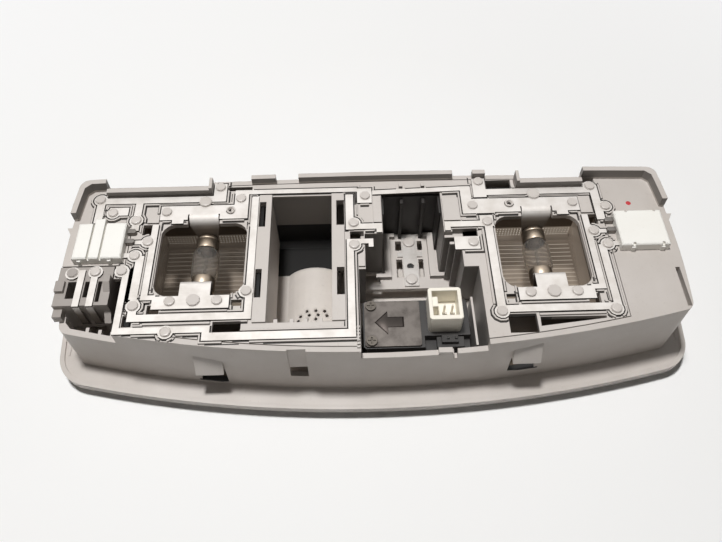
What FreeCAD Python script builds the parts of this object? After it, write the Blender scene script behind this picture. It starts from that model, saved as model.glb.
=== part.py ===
import FreeCAD, Part
import math
import os

os.makedirs("parts", exist_ok=True)
V = FreeCAD.Vector

# A roof lamp for a car, lying face down: the roof side, with its current strips, is up.
# X runs along the lamp, Y from the front edge to the back edge, Z up from the face.
# All sizes are in millimetres. X = 0 is the plane that the two lamps mirror about.

# Body in plan: all four sides are shallow arcs
BODY_CORNER_X = 112.6
BODY_MID_X = 114.4
BODY_FRONT = -46.8
BODY_FRONT_BOW = 13.8
BODY_BACK = 31.5
BODY_BACK_BOW = 2.2
BODY_CORNER_R = 4.0
WALL = 2.0

# Flange that hides the edge of the roof lining
FLANGE_CORNER_X = 119.5
FLANGE_MID_X = 122.0
FLANGE_FRONT = -55.5
FLANGE_FRONT_BOW = 15.0
FLANGE_BACK = 37.5
FLANGE_BACK_BOW = 4.0
FLANGE_CORNER_R = 14.0
FLANGE_T = 2.0
LIP_W = 1.6
LIP_H = 0.7

# Levels
FACE_DEPTH = 4.0
FLANGE_TOP = FACE_DEPTH + FLANGE_T
BUS_TOP = 36.0
STRIP_T = 0.8
PLATE_T = 2.0
PLATE_TOP = BUS_TOP - STRIP_T
PLATE_UNDER = PLATE_TOP - PLATE_T
CORNER_WALL_TOP = PLATE_TOP + 4.8
BACK_WALL_TOP = PLATE_TOP + 3.4
MODULE_RIM = BUS_TOP - 5.6
PLUG_RIM = BUS_TOP - 6.4

# Clearances
FIT = 0.3
HOLE_FIT = 0.2
BUTTON_FIT = 0.4

# Lamps
LAMP_X = 63.4
LAMP_Y = -6.25
LAMP_OPENING = 32.6
LAMP_CORNER_R = 5.5
LAMP_CORNER_SIDES = 16

# Festoon bulbs, 10 mm by 31 mm, along Y
BULB_X = 64.2
BULB_Y = -2.6
BULB_Z = BUS_TOP - 11.0
BULB_LENGTH = 31.0
CAP_R = 4.25
CAP_LENGTH = 7.9
GLASS_R = 5.2
GLASS_T = 0.7

HALF_BULB = BULB_LENGTH / 2

# Spring leaves that grip the bulb caps
LEAF_TOP_W = 11.2
LEAF_FOOT_W = 6.4
LEAF_FOOT = BULB_Z - 3.4
LEAF_HOLE_R = 2.3
LEAF_X0 = BULB_X - LEAF_TOP_W / 2 - 0.5
LEAF_X1 = BULB_X + LEAF_TOP_W / 2 + 0.5
FAR_FACE = BULB_Y + HALF_BULB - 2.0
NEAR_FACE = BULB_Y - HALF_BULB + 2.0
FAR_ROOT = FAR_FACE + 3.2
NEAR_ROOT = NEAR_FACE - 2.0

# Lens plates
LENS_X0 = 43.0
LENS_X1 = 87.0
LENS_Y0 = -32.0
LENS_Y1 = 24.8
LENS_BASE = 0.5
LENS_T = 2.0
LENS_RIB_PITCH = 2.1
LENS_RIB_H = 0.7
CHAMBER_T = 1.5

# Switches and their push buttons
SWITCH_X0 = 92.2
SWITCH_X1 = 110.2
SWITCH_Y0 = -7.5
SWITCH_Y1 = 8.8
SWITCH_CAP_H = 3.7
SWITCH_BODY_INSET = 1.4
SWITCH_DROP = 13.0
BUTTON_X = (SWITCH_X0 + SWITCH_X1) / 2
BUTTON_Y = (SWITCH_Y0 + SWITCH_Y1) / 2
BUTTON_HALF = 5.5
BUTTON_TRAVEL = 2.5
STEM_R = 3.0

# Moulded stakes that hold the strips
STAKE_R = 1.15
HEAD_R = 1.9
BIG_HEAD_R = 2.4
HEAD_H = 0.7
PAD_R = 2.7

# Small round pieces are drawn with flat sides
STUD_SIDES = 6
HEAD_SIDES = 8
ROUND_SIDES = 12
BULB_SIDES = 16

# Pocket left of the middle, tub and control module right of it
POCKET_X0 = -38.3
POCKET_X1 = -15.0
POCKET_Y0 = -34.5
POCKET_Y1 = 22.6
POCKET_T = 1.5
POCKET_BAR = 4.8
POCKET_UNDER = 6.0
TUB_X0 = 4.4
TUB_X1 = 27.7
TUB_Y0 = 3.3
TUB_Y1 = 24.0
MID_X0 = -2.6
MID_X1 = 33.6
MID_EDGE = -5.0
MID_FLOOR = 8.6
BAY_X0 = -5.2
BAY_X1 = 39.0
BAY_BACK = -12.8
BAY_FLOOR = 11.5
MODULE_X0 = -4.2
MODULE_X1 = 33.6
MODULE_Y0 = -43.0
MODULE_Y1 = -23.8
MODULE_TOP = BUS_TOP - 6.0
CONNECTOR_X0 = 18.8
CONNECTOR_X1 = 30.4
CONNECTOR_Y0 = -37.0
CONNECTOR_Y1 = -24.2
CONNECTOR_H = 9.0

# The flange is the largest outline, so its middle is the middle of the whole lamp
MIDDLE_Y = (FLANGE_FRONT + FLANGE_BACK) / 2
# Cutting tools reach past every outline
OUT_X = FLANGE_MID_X + 8.0
OUT_FRONT = FLANGE_FRONT - 5.0
OUT_BACK = FLANGE_BACK + 5.0
OUT_TOP = CORNER_WALL_TOP + 10.0


def box(x0, x1, y0, y1, z0, z1):
    return Part.makeBox(x1 - x0, y1 - y0, z1 - z0, V(x0, y0, z0))


def prism(points, z0, z1):
    corners = [V(x, y, z0) for x, y in points]
    return Part.Face(Part.makePolygon(corners + corners[:1])).extrude(V(0, 0, z1 - z0))


def circle_points(r, sides):
    turns = [2 * math.pi * (index + 0.5) / sides for index in range(sides)]
    return [(r * math.cos(turn), r * math.sin(turn)) for turn in turns]


def post(x, y, r, z0, z1, sides):
    return prism([(x + dx, y + dy) for dx, dy in circle_points(r, sides)], z0, z1)


def join(shapes):
    return shapes[0].multiFuse(shapes[1:]).removeSplitter()


def mirrored(shape):
    return shape.mirror(V(0, 0, 0), V(1, 0, 0))


def is_upright(edge):
    a = edge.Vertexes[0].Point
    b = edge.Vertexes[-1].Point
    return abs(a.x - b.x) < 1e-6 and abs(a.y - b.y) < 1e-6 and abs(a.z - b.z) > 1e-3


def round_corners(shape, radius):
    return shape.makeFillet(radius, [edge for edge in shape.Edges if is_upright(edge)])


def bevel_corners(shape, size):
    return shape.makeChamfer(size, [edge for edge in shape.Edges if is_upright(edge)])


def bowed_wire(corner_x, mid_x, front, front_bow, back, back_bow, z):
    front_y = front + front_bow
    back_y = back - back_bow
    mid_y = (front_y + back_y) / 2
    front_left = V(-corner_x, front_y, z)
    front_right = V(corner_x, front_y, z)
    back_right = V(corner_x, back_y, z)
    back_left = V(-corner_x, back_y, z)
    sides = [
        Part.Arc(front_left, V(0, front, z), front_right),
        Part.Arc(front_right, V(mid_x, mid_y, z), back_right),
        Part.Arc(back_right, V(0, back, z), back_left),
        Part.Arc(back_left, V(-mid_x, mid_y, z), front_left),
    ]
    return Part.Wire([side.toShape() for side in sides])


def body_prism(inset, z0, z1):
    wire = bowed_wire(
        BODY_CORNER_X - inset,
        BODY_MID_X - inset,
        BODY_FRONT + inset,
        BODY_FRONT_BOW,
        BODY_BACK - inset,
        BODY_BACK_BOW,
        z0,
    )
    solid = Part.Face(wire).extrude(V(0, 0, z1 - z0))
    if inset > 0:
        return bevel_corners(solid, BODY_CORNER_R / 2)
    return round_corners(solid, BODY_CORNER_R)


def flange_prism(inset, z0, z1):
    wire = bowed_wire(
        FLANGE_CORNER_X - inset,
        FLANGE_MID_X - inset,
        FLANGE_FRONT + inset,
        FLANGE_FRONT_BOW,
        FLANGE_BACK - inset,
        FLANGE_BACK_BOW,
        z0,
    )
    solid = Part.Face(wire).extrude(V(0, 0, z1 - z0))
    return round_corners(solid, FLANGE_CORNER_R - inset)


def front_y(x):
    # The front wall's outer face at a place along the lamp
    radius = (BODY_CORNER_X ** 2 + BODY_FRONT_BOW ** 2) / (2 * BODY_FRONT_BOW)
    return BODY_FRONT + radius - math.sqrt(radius ** 2 - x ** 2)


def stake(x, y, head_r):
    shank = post(x, y, STAKE_R, PLATE_UNDER, BUS_TOP + HEAD_H / 2, STUD_SIDES)
    return shank.fuse(post(x, y, head_r, BUS_TOP, BUS_TOP + HEAD_H, HEAD_SIDES))


def bar(x0, x1, y0, y1):
    return box(x0, x1, y0, y1, PLATE_TOP, BUS_TOP)


def pad(x, y):
    return post(x, y, PAD_R, PLATE_TOP, BUS_TOP, ROUND_SIDES)


def strip(pieces, stakes):
    shape = join(pieces)
    hole_r = STAKE_R + HOLE_FIT
    holes = [post(x, y, hole_r, PLATE_TOP - 1, BUS_TOP + 1, STUD_SIDES) for x, y in stakes]
    return shape.cut(holes).removeSplitter()


def lowered(shape):
    # From the level of the strips down to the floor of the middle bay
    shape.translate(V(0, 0, MID_FLOOR - PLATE_TOP))
    return shape


def save(name, shape):
    shape = shape.copy()
    shape.translate(V(0, -MIDDLE_Y, 0))
    if not shape.isValid():
        raise ValueError(name + " is not a valid shape")
    shape.exportStep("parts/" + name + ".step")


# Where the stakes stand: these come in mirrored pairs on the lamp plate
PAIR_STAKES = [(84.0, 1.4), (88.0, -4.9), (78.6, 15.4), (72.7, -25.2), (55.9, -25.2)]
PAIR_BIG_STAKES = [(64.1, 20.0), (64.3, -25.0)]
LEFT_PLATE_STAKES = [(-58.8, 27.3), (-50.4, 21.4), (-85.4, -26.8), (-45.8, -21.6), (-72.6, -37.6)]
CENTRE_STAKES = [(-1.9, 21.2), (-6.6, 8.0), (-6.6, -2.3), (38.0, -2.5)]
RIGHT_PLATE_STAKES = [(39.7, 15.1), (44.4, 7.0), (43.3, 27.2), (44.6, -32.8), (84.8, -32.8), (87.0, 23.4)]
CONTACT_STAKES = [(16.4, 17.5), (16.4, -1.1)]
LEFT_END_STAKES = [(-105.3, 22.3), (-99.4, 15.6), (-89.9, 11.7)]
RIGHT_END_STAKES = [(91.0, 13.2)]
HARNESS_STAKES = [(-109.5, -12.0), (-101.2, -11.7)]
PLUG_STAKE = (-91.7, -11.6)


# Housing: flange, bowed wall, end plates, corner walls and front catches in one moulding
CATCH_W = 10.0
CATCH_H = 8.5
CATCH_OUT = 3.2
CATCH_HOLE_H = 11.0
CATCHES = [(-59.5, 27.5), (53.5, 31.5)]
BACK_RUN_Y = 23.9
WINDOW_X0 = -30.7
WINDOW_X1 = -24.2
WINDOW_Z0 = 16.0
WINDOW_Z1 = 22.0
END_PLATE_LEFT = -91.4
END_PLATE_RIGHT = 89.6


def front_catch(x, top):
    root = front_y(x) + 0.8
    side = [(root, top), (root, top - CATCH_H), (front_y(x) - CATCH_OUT, top - CATCH_H)]
    corners = [V(x - CATCH_W / 2, y, z) for y, z in side]
    return Part.Face(Part.makePolygon(corners + corners[:1])).extrude(V(CATCH_W, 0, 0))


def make_housing():
    tube = body_prism(0, FACE_DEPTH, CORNER_WALL_TOP).cut(body_prism(WALL, 0, CORNER_WALL_TOP + 1))
    # The wall stands full height only round the two far corners
    over = CORNER_WALL_TOP + 1
    trims = [
        box(-OUT_X, OUT_X, OUT_FRONT, 13.0, PLATE_TOP, over),
        box(-103.2, 84.6, 13.0, OUT_BACK, BACK_WALL_TOP, over),
        box(-103.2, -62.0, 13.0, OUT_BACK, PLATE_UNDER, over),
        box(59.0, 84.6, 13.0, OUT_BACK, PLATE_UNDER, over),
        box(-62.0, -46.6, 13.0, OUT_BACK, PLATE_TOP, over),
        box(-37.0, -28.0, 13.0, OUT_BACK, PLATE_TOP, over),
        box(33.0, 41.0, 13.0, OUT_BACK, PLATE_TOP, over),
        box(46.0, 59.0, 13.0, OUT_BACK, PLATE_TOP, over),
        box(BAY_X0, BAY_X1, OUT_FRONT, -30, MODULE_RIM, over),
        box(-OUT_X, END_PLATE_LEFT, OUT_FRONT, -26, PLUG_RIM, over),
        box(-OUT_X, -105, -26.6, -8.4, 19.7, over),
        box(WINDOW_X0, WINDOW_X1, OUT_FRONT, front_y(-27) + 0.8, WINDOW_Z0, over),
        box(WINDOW_X0, WINDOW_X1, OUT_FRONT, -40, WINDOW_Z0, WINDOW_Z1),
    ]
    tube = tube.cut(trims)
    flange = flange_prism(0, FACE_DEPTH, FLANGE_TOP)
    lip = flange_prism(0, FLANGE_TOP, FLANGE_TOP + LIP_H).cut(flange_prism(LIP_W, 0, FLANGE_TOP + 2))
    opening = body_prism(WALL, 0, FLANGE_TOP + 2)
    # The end plates carry the switches
    ends = body_prism(WALL / 2, PLATE_UNDER, PLATE_TOP)
    right_end = ends.common(box(END_PLATE_RIGHT, OUT_X, OUT_FRONT, OUT_BACK, 0, OUT_TOP))
    left_end = ends.common(box(-OUT_X, END_PLATE_LEFT, -8.4, OUT_BACK, 0, OUT_TOP))
    seats = []
    for sign in (-1, 1):
        reach = SWITCH_BODY_INSET - FIT
        inner = sign * (SWITCH_X0 + reach)
        outer = sign * (SWITCH_X1 - reach)
        y0 = SWITCH_Y0 + reach
        y1 = SWITCH_Y1 - reach
        seats.append(box(min(inner, outer), max(inner, outer), y0, y1, 0, OUT_TOP))
    # The wall is open below each front catch
    catch_holes = []
    for x, top in CATCHES:
        under = top - CATCH_H
        half = CATCH_W / 2
        y = front_y(x)
        catch_holes.append(box(x - half, x + half, y - 2, y + WALL + 2, under - CATCH_HOLE_H, under))
    # Two straight runs of the back wall stand further in, each ended by a fin
    back_runs = []
    behind = BODY_BACK - BODY_BACK_BOW
    for x0, x1, fin in ((-102.8, -62.0, -62.2), (59.0, 83.8, 58.4)):
        back_runs.append(box(x0, x1, BACK_RUN_Y, BACK_RUN_Y + WALL, PLATE_UNDER, BACK_WALL_TOP))
        back_runs.append(box(x0, x1, BACK_RUN_Y, behind, PLATE_UNDER, PLATE_TOP - 0.2))
        back_runs.append(box(fin - 0.6, fin + 0.6, BACK_RUN_Y, behind, PLATE_UNDER, BACK_WALL_TOP + 1.2))
    # Three ribs inside the bay for the vehicle's plug
    ribs = [box(x, x + 1.2, front_y(x) + 1.0, front_y(x) + 4.0, 14.0, PLUG_RIM) for x in (-103, -98.4, -94)]
    wedges = []
    for sign in (-1, 1):
        inner = sign * (BODY_MID_X - 1.0)
        corners = [(inner, 4.6), (sign * (BODY_MID_X + 1.6), 9.4), (inner, 9.4)]
        wedges.append(prism(corners, PLATE_TOP - 3.2, PLATE_TOP))
    latch_tab = box(21.6, 26.4, front_y(24), front_y(24) + WALL, MODULE_RIM - 1, MODULE_RIM + 1.6)
    shapes = [tube, flange.cut(opening), lip, right_end, left_end, latch_tab] + ribs + back_runs + wedges
    shapes += [front_catch(x, top) for x, top in CATCHES]
    shapes += [stake(x, y, HEAD_R) for x, y in LEFT_END_STAKES[:2]]
    shapes += [stake(x, y, HEAD_R) for x, y in RIGHT_END_STAKES]
    housing = join(shapes).cut(seats + catch_holes)
    # A shallow slot in the right end and a catch slot under the latch tab
    slots = [
        box(110.6, 112.2, -32.0, -15.5, PLATE_UNDER - 1, PLATE_TOP + 1),
        box(27.0, 28.4, OUT_FRONT, -40, MODULE_RIM - 3.4, MODULE_RIM + 1),
    ]
    return housing.cut(slots).removeSplitter()


save("housing", make_housing())


# Terminal plate: carries every strip on moulded stakes and frames the two lamps
SLOT_HOLES = [
    (-87.0, -83.6, 5.2, 10.0),
    (-88.6, -85.2, -34.8, -30.2),
    (-80.6, -76.2, -29.8, -26.2),
    (-56.8, -46.9, -37.8, -33.5),
    (-51.0, -47.2, -27.2, -24.6),
    (-55.8, -46.4, 26.0, 28.0),
    (46.3, 56.2, 23.8, 28.4),
    (46.6, 56.6, -41.0, -33.5),
    (76.2, 80.6, -29.8, -25.9),
    (47.2, 50.8, -27.2, -25.2),
    (83.6, 87.0, 5.2, 10.0),
    (-8.1, -2.9, 0.6, 4.6),
    (30.8, 40.2, 0.6, 4.6),
    (-42.9, -40.4, 7.3, 19.4),
    (-42.9, -40.6, -24.4, -12.2),
    (-13.2, -10.2, 7.3, 19.4),
    (-13.2, -10.4, -24.0, -12.2),
]
RIBS = [
    (-80.4, -79.9, -20.5, 8.4),
    (-84.0, -83.5, -22.0, -3.2),
    (79.9, 80.4, -20.5, 8.4),
    (83.5, 84.0, -29.0, -3.2),
    (-81.0, -57.6, -34.6, -33.8),
    (57.6, 81.0, -34.6, -33.8),
    (-76.0, -52.0, -29.6, -29.0),
    (52.0, 76.0, -29.6, -29.0),
    (41.9, 42.7, -29.6, 3.8),
    (-46.9, -46.4, 9.2, 23.0),
    (-5.4, -4.9, 12.0, 17.4),
    (40.0, 40.4, 20.0, 27.0),
]
FLOOR_GAPS = [
    (MID_X0, 3.8, MID_EDGE + 2.2, TUB_Y0 - 0.4),
    (10.7, 13.2, 14.1, 18.8),
    (10.7, 13.2, 0.5, 9.4),
    (19.9, 21.9, 14.1, 18.8),
    (19.9, 21.9, 0.5, 9.4),
]
RAILS = [
    (5.6, 8.3, -0.4, 21.7),
    (5.6, 10.4, 19.9, 21.7),
    (2.1, 8.3, -0.4, 1.4),
    (24.0, 26.5, -0.4, 21.7),
    (22.4, 26.5, 19.9, 21.7),
    (24.0, 30.0, -0.4, 1.4),
]
POCKET_RIBS = (-34.9, -29.2, -24.3, -19.1)
POCKET_RIB_OUT = 1.4
BUTTRESSES = [(27.9, 2.6), (29.6, -0.6), (31.4, -3.8)]
BAY_RIM_X = 35.2


def make_terminal_plate():
    outline = [
        (END_PLATE_LEFT + FIT, -14.4),
        (END_PLATE_LEFT + FIT, OUT_FRONT),
        (END_PLATE_RIGHT - FIT, OUT_FRONT),
        (END_PLATE_RIGHT - FIT, 26.0),
        (84.1, 26.0),
        (84.1, 23.6),
        (57.5, 23.6),
        (57.5, OUT_BACK),
        (-61.2, OUT_BACK),
        (-61.2, 23.6),
        (END_PLATE_LEFT + FIT, 23.6),
        (END_PLATE_LEFT + FIT, -8.8),
        (-94.4, -8.8),
        (-94.4, -14.4),
    ]
    plate = prism(outline, PLATE_UNDER, PLATE_TOP).common(body_prism(WALL + FIT, 0, OUT_TOP))
    # A tapered groove beside the front wall
    groove = prism([(57.8, -34.9), (81.0, -35.1), (81.0, -36.0), (57.6, -38.6)], PLATE_UNDER - 1, PLATE_TOP + 1)
    t = POCKET_T
    pocket = box(POCKET_X0 - t, POCKET_X1 + t, POCKET_Y0 - t, POCKET_Y1 + t, POCKET_UNDER, PLATE_TOP)
    bay = box(BAY_X0 - t, BAY_X1 + t, OUT_FRONT, BAY_BACK + t, BAY_FLOOR - t, PLATE_TOP)
    # Behind the module the middle bay drops to a floor of its own and ends in an alcove
    under = MID_FLOOR - PLATE_T
    middle = box(MID_X0 - t, MID_X1 + t, BAY_BACK, TUB_Y0 + t, under, PLATE_TOP)
    alcove = box(TUB_X0 - t, TUB_X1 + t, TUB_Y0, TUB_Y1 + t, under, PLATE_TOP)
    skirts = [pocket, bay.common(body_prism(WALL + FIT, 0, OUT_TOP)), middle, alcove]
    # Raised bars beside the pocket and the lamps
    raised = [
        box(POCKET_X0 - POCKET_BAR, POCKET_X0, POCKET_Y0, POCKET_Y1 + 0.4, PLATE_UNDER, BUS_TOP),
        box(POCKET_X1, POCKET_X1 + POCKET_BAR, POCKET_Y0, POCKET_Y1 + 0.4, PLATE_UNDER, BUS_TOP),
        box(1.0, 4.2, 8.2, 21.2, PLATE_UNDER, BUS_TOP),
        box(28.0, 34.4, 8.2, 19.4, PLATE_UNDER, BUS_TOP),
        box(-5.2, -2.8, -12.0, -7.6, PLATE_UNDER, BUS_TOP),
        box(-85.6, -81.2, 10.4, 14.2, PLATE_UNDER, BUS_TOP),
        box(81.2, 85.8, 10.4, 18.6, PLATE_UNDER, BUS_TOP),
    ]
    raised += [box(x0, x1, y0, y1, PLATE_UNDER, BUS_TOP) for x0, x1, y0, y1 in RIBS]
    # Tabs behind the tub and a rim beside the control module
    raised += [box(x - 0.7, x + 0.7, 25.3, 27.0, PLATE_UNDER, BUS_TOP + 0.5) for x in (12.3, 21.0)]
    solid = join([plate] + skirts + raised)
    # Each corner of a lamp opening is a quarter of a ring of flat facets
    straight = LAMP_OPENING / 2 - LAMP_CORNER_R
    corners = []
    for dx, dy in circle_points(LAMP_CORNER_R, LAMP_CORNER_SIDES):
        corners.append((LAMP_X + dx + math.copysign(straight, dx), LAMP_Y + dy + math.copysign(straight, dy)))
    lamp = prism(corners, PLATE_UNDER - 1, BUS_TOP + 1)
    roll_gap = box(LEAF_X0, LEAF_X1, LAMP_Y, FAR_ROOT + FIT, PLATE_UNDER - 1, BUS_TOP + 1)
    inside_bay = box(BAY_X0, BAY_X1, OUT_FRONT, BAY_BACK, BAY_FLOOR, OUT_TOP)
    cuts = [
        lamp.fuse(roll_gap),
        mirrored(lamp.fuse(roll_gap)),
        box(POCKET_X0, POCKET_X1, POCKET_Y0, POCKET_Y1, 0, OUT_TOP),
        box(TUB_X0, TUB_X1, TUB_Y0 - 1, TUB_Y1, MID_FLOOR, OUT_TOP),
        box(MID_X0, MID_X1, BAY_BACK - 1, TUB_Y0, MID_FLOOR, OUT_TOP),
        box(MID_X0, MID_X1, BAY_BACK - 1, MID_EDGE, 0, OUT_TOP),
        inside_bay,
        groove,
    ]
    cuts += [box(x0, x1, y0, y1, PLATE_UNDER - 1, BUS_TOP + 1) for x0, x1, y0, y1 in SLOT_HOLES]
    cuts += [box(x0, x1, y0, y1, under - 1, MID_FLOOR + 1) for x0, x1, y0, y1 in FLOOR_GAPS]
    solid = solid.cut(cuts)
    # Short ribs inside the pocket's front wall, buttresses in the middle bay and rails on its floor
    inner_ribs = []
    for x in POCKET_RIBS:
        inner_ribs.append(box(x - 0.7, x + 0.7, POCKET_Y0 - 0.2, POCKET_Y0 + POCKET_RIB_OUT, 16, PLATE_TOP))
    for x, y in BUTTRESSES:
        inner_ribs.append(box(x, MID_X1 + 0.2, y - 0.6, y + 0.6, MID_FLOOR - 0.2, PLATE_UNDER))
    rail_top = MID_FLOOR + STRIP_T + 1.2
    inner_ribs += [box(x0, x1, y0, y1, MID_FLOOR - 0.5, rail_top) for x0, x1, y0, y1 in RAILS]
    rim_front = front_y(BAY_RIM_X) + WALL + FIT + 0.6
    inner_ribs.append(box(BAY_RIM_X, BAY_RIM_X + 0.8, rim_front, MODULE_Y1 + 1.0, BAY_FLOOR - 0.2, MODULE_TOP))
    stakes = []
    for x, y in PAIR_STAKES:
        stakes += [stake(x, y, HEAD_R), stake(-x, y, HEAD_R)]
    for x, y in PAIR_BIG_STAKES:
        stakes += [stake(x, y, BIG_HEAD_R), stake(-x, y, BIG_HEAD_R)]
    singles = LEFT_PLATE_STAKES + CENTRE_STAKES + RIGHT_PLATE_STAKES + LEFT_END_STAKES[2:] + [PLUG_STAKE]
    stakes += [stake(x, y, HEAD_R) for x, y in singles]
    stakes += [lowered(stake(x, y, BIG_HEAD_R)) for x, y in CONTACT_STAKES]
    return join([solid] + inner_ribs + stakes)


save("terminal_plate", make_terminal_plate())


# Face panel: the pillow-shaped cover seen from the car, with the lamp chambers on its back
PANEL_T = 2.0
PANEL_SKIRT = 3.0
PANEL_FLAT_X = 90.0
PANEL_FLAT_EDGE = 8.0
VAULT_X = -23.0
VAULT_R = 13.5
VAULT_RISE = 8.0
VAULT_SIDES = 32
VAULT_Y0 = -33.5
VAULT_Y1 = 7.0
GRILLE_R = 0.7


def panel_pillow(inset, lift):
    rim = bowed_wire(
        BODY_CORNER_X - WALL - FIT - inset,
        BODY_MID_X - WALL - FIT - inset,
        BODY_FRONT + WALL + FIT + inset,
        BODY_FRONT_BOW,
        BODY_BACK - WALL - FIT - inset,
        BODY_BACK_BOW,
        FACE_DEPTH + lift,
    )
    flat = bowed_wire(
        PANEL_FLAT_X - inset,
        PANEL_FLAT_X + 1 - inset,
        BODY_FRONT + PANEL_FLAT_EDGE + inset,
        BODY_FRONT_BOW * (PANEL_FLAT_X / BODY_CORNER_X) ** 2,
        BODY_BACK - PANEL_FLAT_EDGE - inset,
        BODY_BACK_BOW,
        lift,
    )
    return Part.makeLoft([flat, rim], True, True)


def lens_box(gap, z0, z1):
    return box(LENS_X0 - gap, LENS_X1 + gap, LENS_Y0 - gap, LENS_Y1 + gap, z0, z1)


def button_box(gap, z0, z1):
    half = BUTTON_HALF + gap
    return box(BUTTON_X - half, BUTTON_X + half, BUTTON_Y - half, BUTTON_Y + half, z0, z1)


def vault(radius, y0, y1):
    # A shallow trough of narrow flats, seen from above as the grey hump on the pocket's floor
    axis_z = VAULT_RISE - VAULT_R
    ring = [V(VAULT_X + dx, y0, axis_z + dz) for dx, dz in circle_points(radius, VAULT_SIDES)]
    tunnel = Part.Face(Part.makePolygon(ring + ring[:1])).extrude(V(0, y1 - y0, 0))
    return tunnel.common(box(VAULT_X - radius, VAULT_X + radius, y0, y1, 0.4, VAULT_RISE + 1))


def make_face_panel():
    skirt = body_prism(WALL + FIT, FACE_DEPTH, FACE_DEPTH + PANEL_SKIRT)
    hollow = body_prism(WALL + FIT + PANEL_T, FACE_DEPTH, FACE_DEPTH + PANEL_SKIRT + 1)
    shell = panel_pillow(0, 0).fuse(skirt).cut([panel_pillow(PANEL_T, PANEL_T), hollow])
    hump = vault(VAULT_R, VAULT_Y0, VAULT_Y1)
    shapes = [shell, hump]
    cuts = [vault(VAULT_R - PANEL_T, VAULT_Y0 + PANEL_T, VAULT_Y1 - PANEL_T)]
    cuts.append(box(VAULT_X - 9.0, VAULT_X + 9.0, VAULT_Y0 + PANEL_T, VAULT_Y1 - PANEL_T, -1, 1))
    for make in (lambda shape: shape, mirrored):
        chamber = lens_box(CHAMBER_T, PANEL_T - 0.5, PLATE_UNDER).cut(lens_box(-0.2, 0, OUT_TOP))
        shapes.append(make(chamber))
        cuts.append(make(lens_box(FIT, -1, LENS_BASE + LENS_T + 0.5)))
        cuts.append(make(button_box(BUTTON_FIT, -1, 9)))
    # Small round holes in the hump, in three groups
    for column, rows in ((-29.5, (0, 1)), (-26.0, (0, 1, 2)), (-22.5, (0, 1, 2)), (-19.0, (1, 2))):
        for row in rows:
            cuts.append(post(column + 0.9 * (row % 2), -17.6 + 1.9 * row, GRILLE_R, 2, 20, STUD_SIDES))
    return join(shapes).cut(cuts).removeSplitter()


save("face_panel", make_face_panel())


# Lenses: clear plates with prism ribs on the bulb's side
def make_lens():
    plate = lens_box(0, LENS_BASE, LENS_BASE + LENS_T - FIT)
    top = plate.BoundBox.ZMax
    ribs = []
    count = int((LENS_Y1 - LENS_Y0 - 4) / LENS_RIB_PITCH)
    for index in range(count):
        y = LENS_Y0 + 2.0 + index * LENS_RIB_PITCH
        side = [V(LENS_X0 + 1, y, top), V(LENS_X0 + 1, y + LENS_RIB_PITCH * 0.8, top)]
        side.append(V(LENS_X0 + 1, y + LENS_RIB_PITCH * 0.4, top + LENS_RIB_H))
        ribs.append(Part.Face(Part.makePolygon(side + side[:1])).extrude(V(LENS_X1 - LENS_X0 - 2, 0, 0)))
    return join([plate] + ribs)


right_lens = make_lens()
save("right_lens", right_lens)
save("left_lens", mirrored(right_lens))


# Push buttons: a cap in the face, a collar behind it and a stem up into the switch
SWITCH_UNDER = PLATE_TOP - SWITCH_DROP
STEM_ENTRY = 4.0
COLLAR_Z = 6.3
COLLAR_T = 1.2
BUTTON_FACE = 0.9


def make_button():
    cap = button_box(0, BUTTON_FACE, COLLAR_Z)
    bottom = [edge for edge in cap.Edges if edge.BoundBox.ZMax < BUTTON_FACE + 0.01]
    cap = cap.makeChamfer(0.8, bottom)
    collar = button_box(1.0, COLLAR_Z, COLLAR_Z + COLLAR_T)
    stem = post(BUTTON_X, BUTTON_Y, STEM_R, COLLAR_Z, SWITCH_UNDER + STEM_ENTRY, ROUND_SIDES)
    return join([cap, collar, stem])


right_button = make_button()
save("right_button", right_button)
save("left_button", mirrored(right_button))


# Switch blocks: a white case that hangs through the end plate, open below for the stem
GROOVES = (100.4, 104.8)
GROOVE_W = 0.7
TONGUE_OUT = 1.8


def switch_case():
    cap = box(SWITCH_X0, SWITCH_X1, SWITCH_Y0, SWITCH_Y1, PLATE_TOP, PLATE_TOP + SWITCH_CAP_H)
    upper = [edge for edge in cap.Edges if edge.BoundBox.ZMin > PLATE_TOP + SWITCH_CAP_H - 0.01]
    cap = cap.makeChamfer(0.5, upper)
    body = box(
        SWITCH_X0 + SWITCH_BODY_INSET,
        SWITCH_X1 - SWITCH_BODY_INSET,
        SWITCH_Y0 + SWITCH_BODY_INSET,
        SWITCH_Y1 - SWITCH_BODY_INSET,
        SWITCH_UNDER,
        PLATE_TOP,
    )
    bore_top = SWITCH_UNDER + STEM_ENTRY + BUTTON_TRAVEL + 1.0
    bore = post(BUTTON_X, BUTTON_Y, STEM_R + BUTTON_FIT, SWITCH_UNDER - 1, bore_top, ROUND_SIDES)
    # Two hooks on the front edge spread into the end plate
    hooks = [box(x, x + 1.4, SWITCH_Y0 - 0.6, SWITCH_Y0, PLATE_TOP, PLATE_TOP + 2.4) for x in (96.0, 107.0)]
    return join([cap, body] + hooks).cut(bore)


def make_right_switch():
    notches = []
    for x in (96.4, 107.2):
        for y in (SWITCH_Y0, SWITCH_Y1):
            notches.append(box(x, x + 0.9, y - 1.0, y + 1.0, PLATE_TOP + 2.6, PLATE_TOP + 5))
    return switch_case().cut(notches)


def make_left_switch():
    top = PLATE_TOP + SWITCH_CAP_H
    cuts = [box(x - GROOVE_W, x, SWITCH_Y0 - 1, SWITCH_Y1 + 1, top - 1.6, top + 1) for x in GROOVES]
    case = switch_case().cut(cuts)
    tongue = box(GROOVES[0], GROOVES[1] - GROOVE_W, SWITCH_Y1 - 0.5, SWITCH_Y1 + TONGUE_OUT, BUS_TOP + 0.2, top)
    return mirrored(case.fuse(tongue))


save("right_switch_case", make_right_switch())
save("left_switch_case", make_left_switch())


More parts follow.
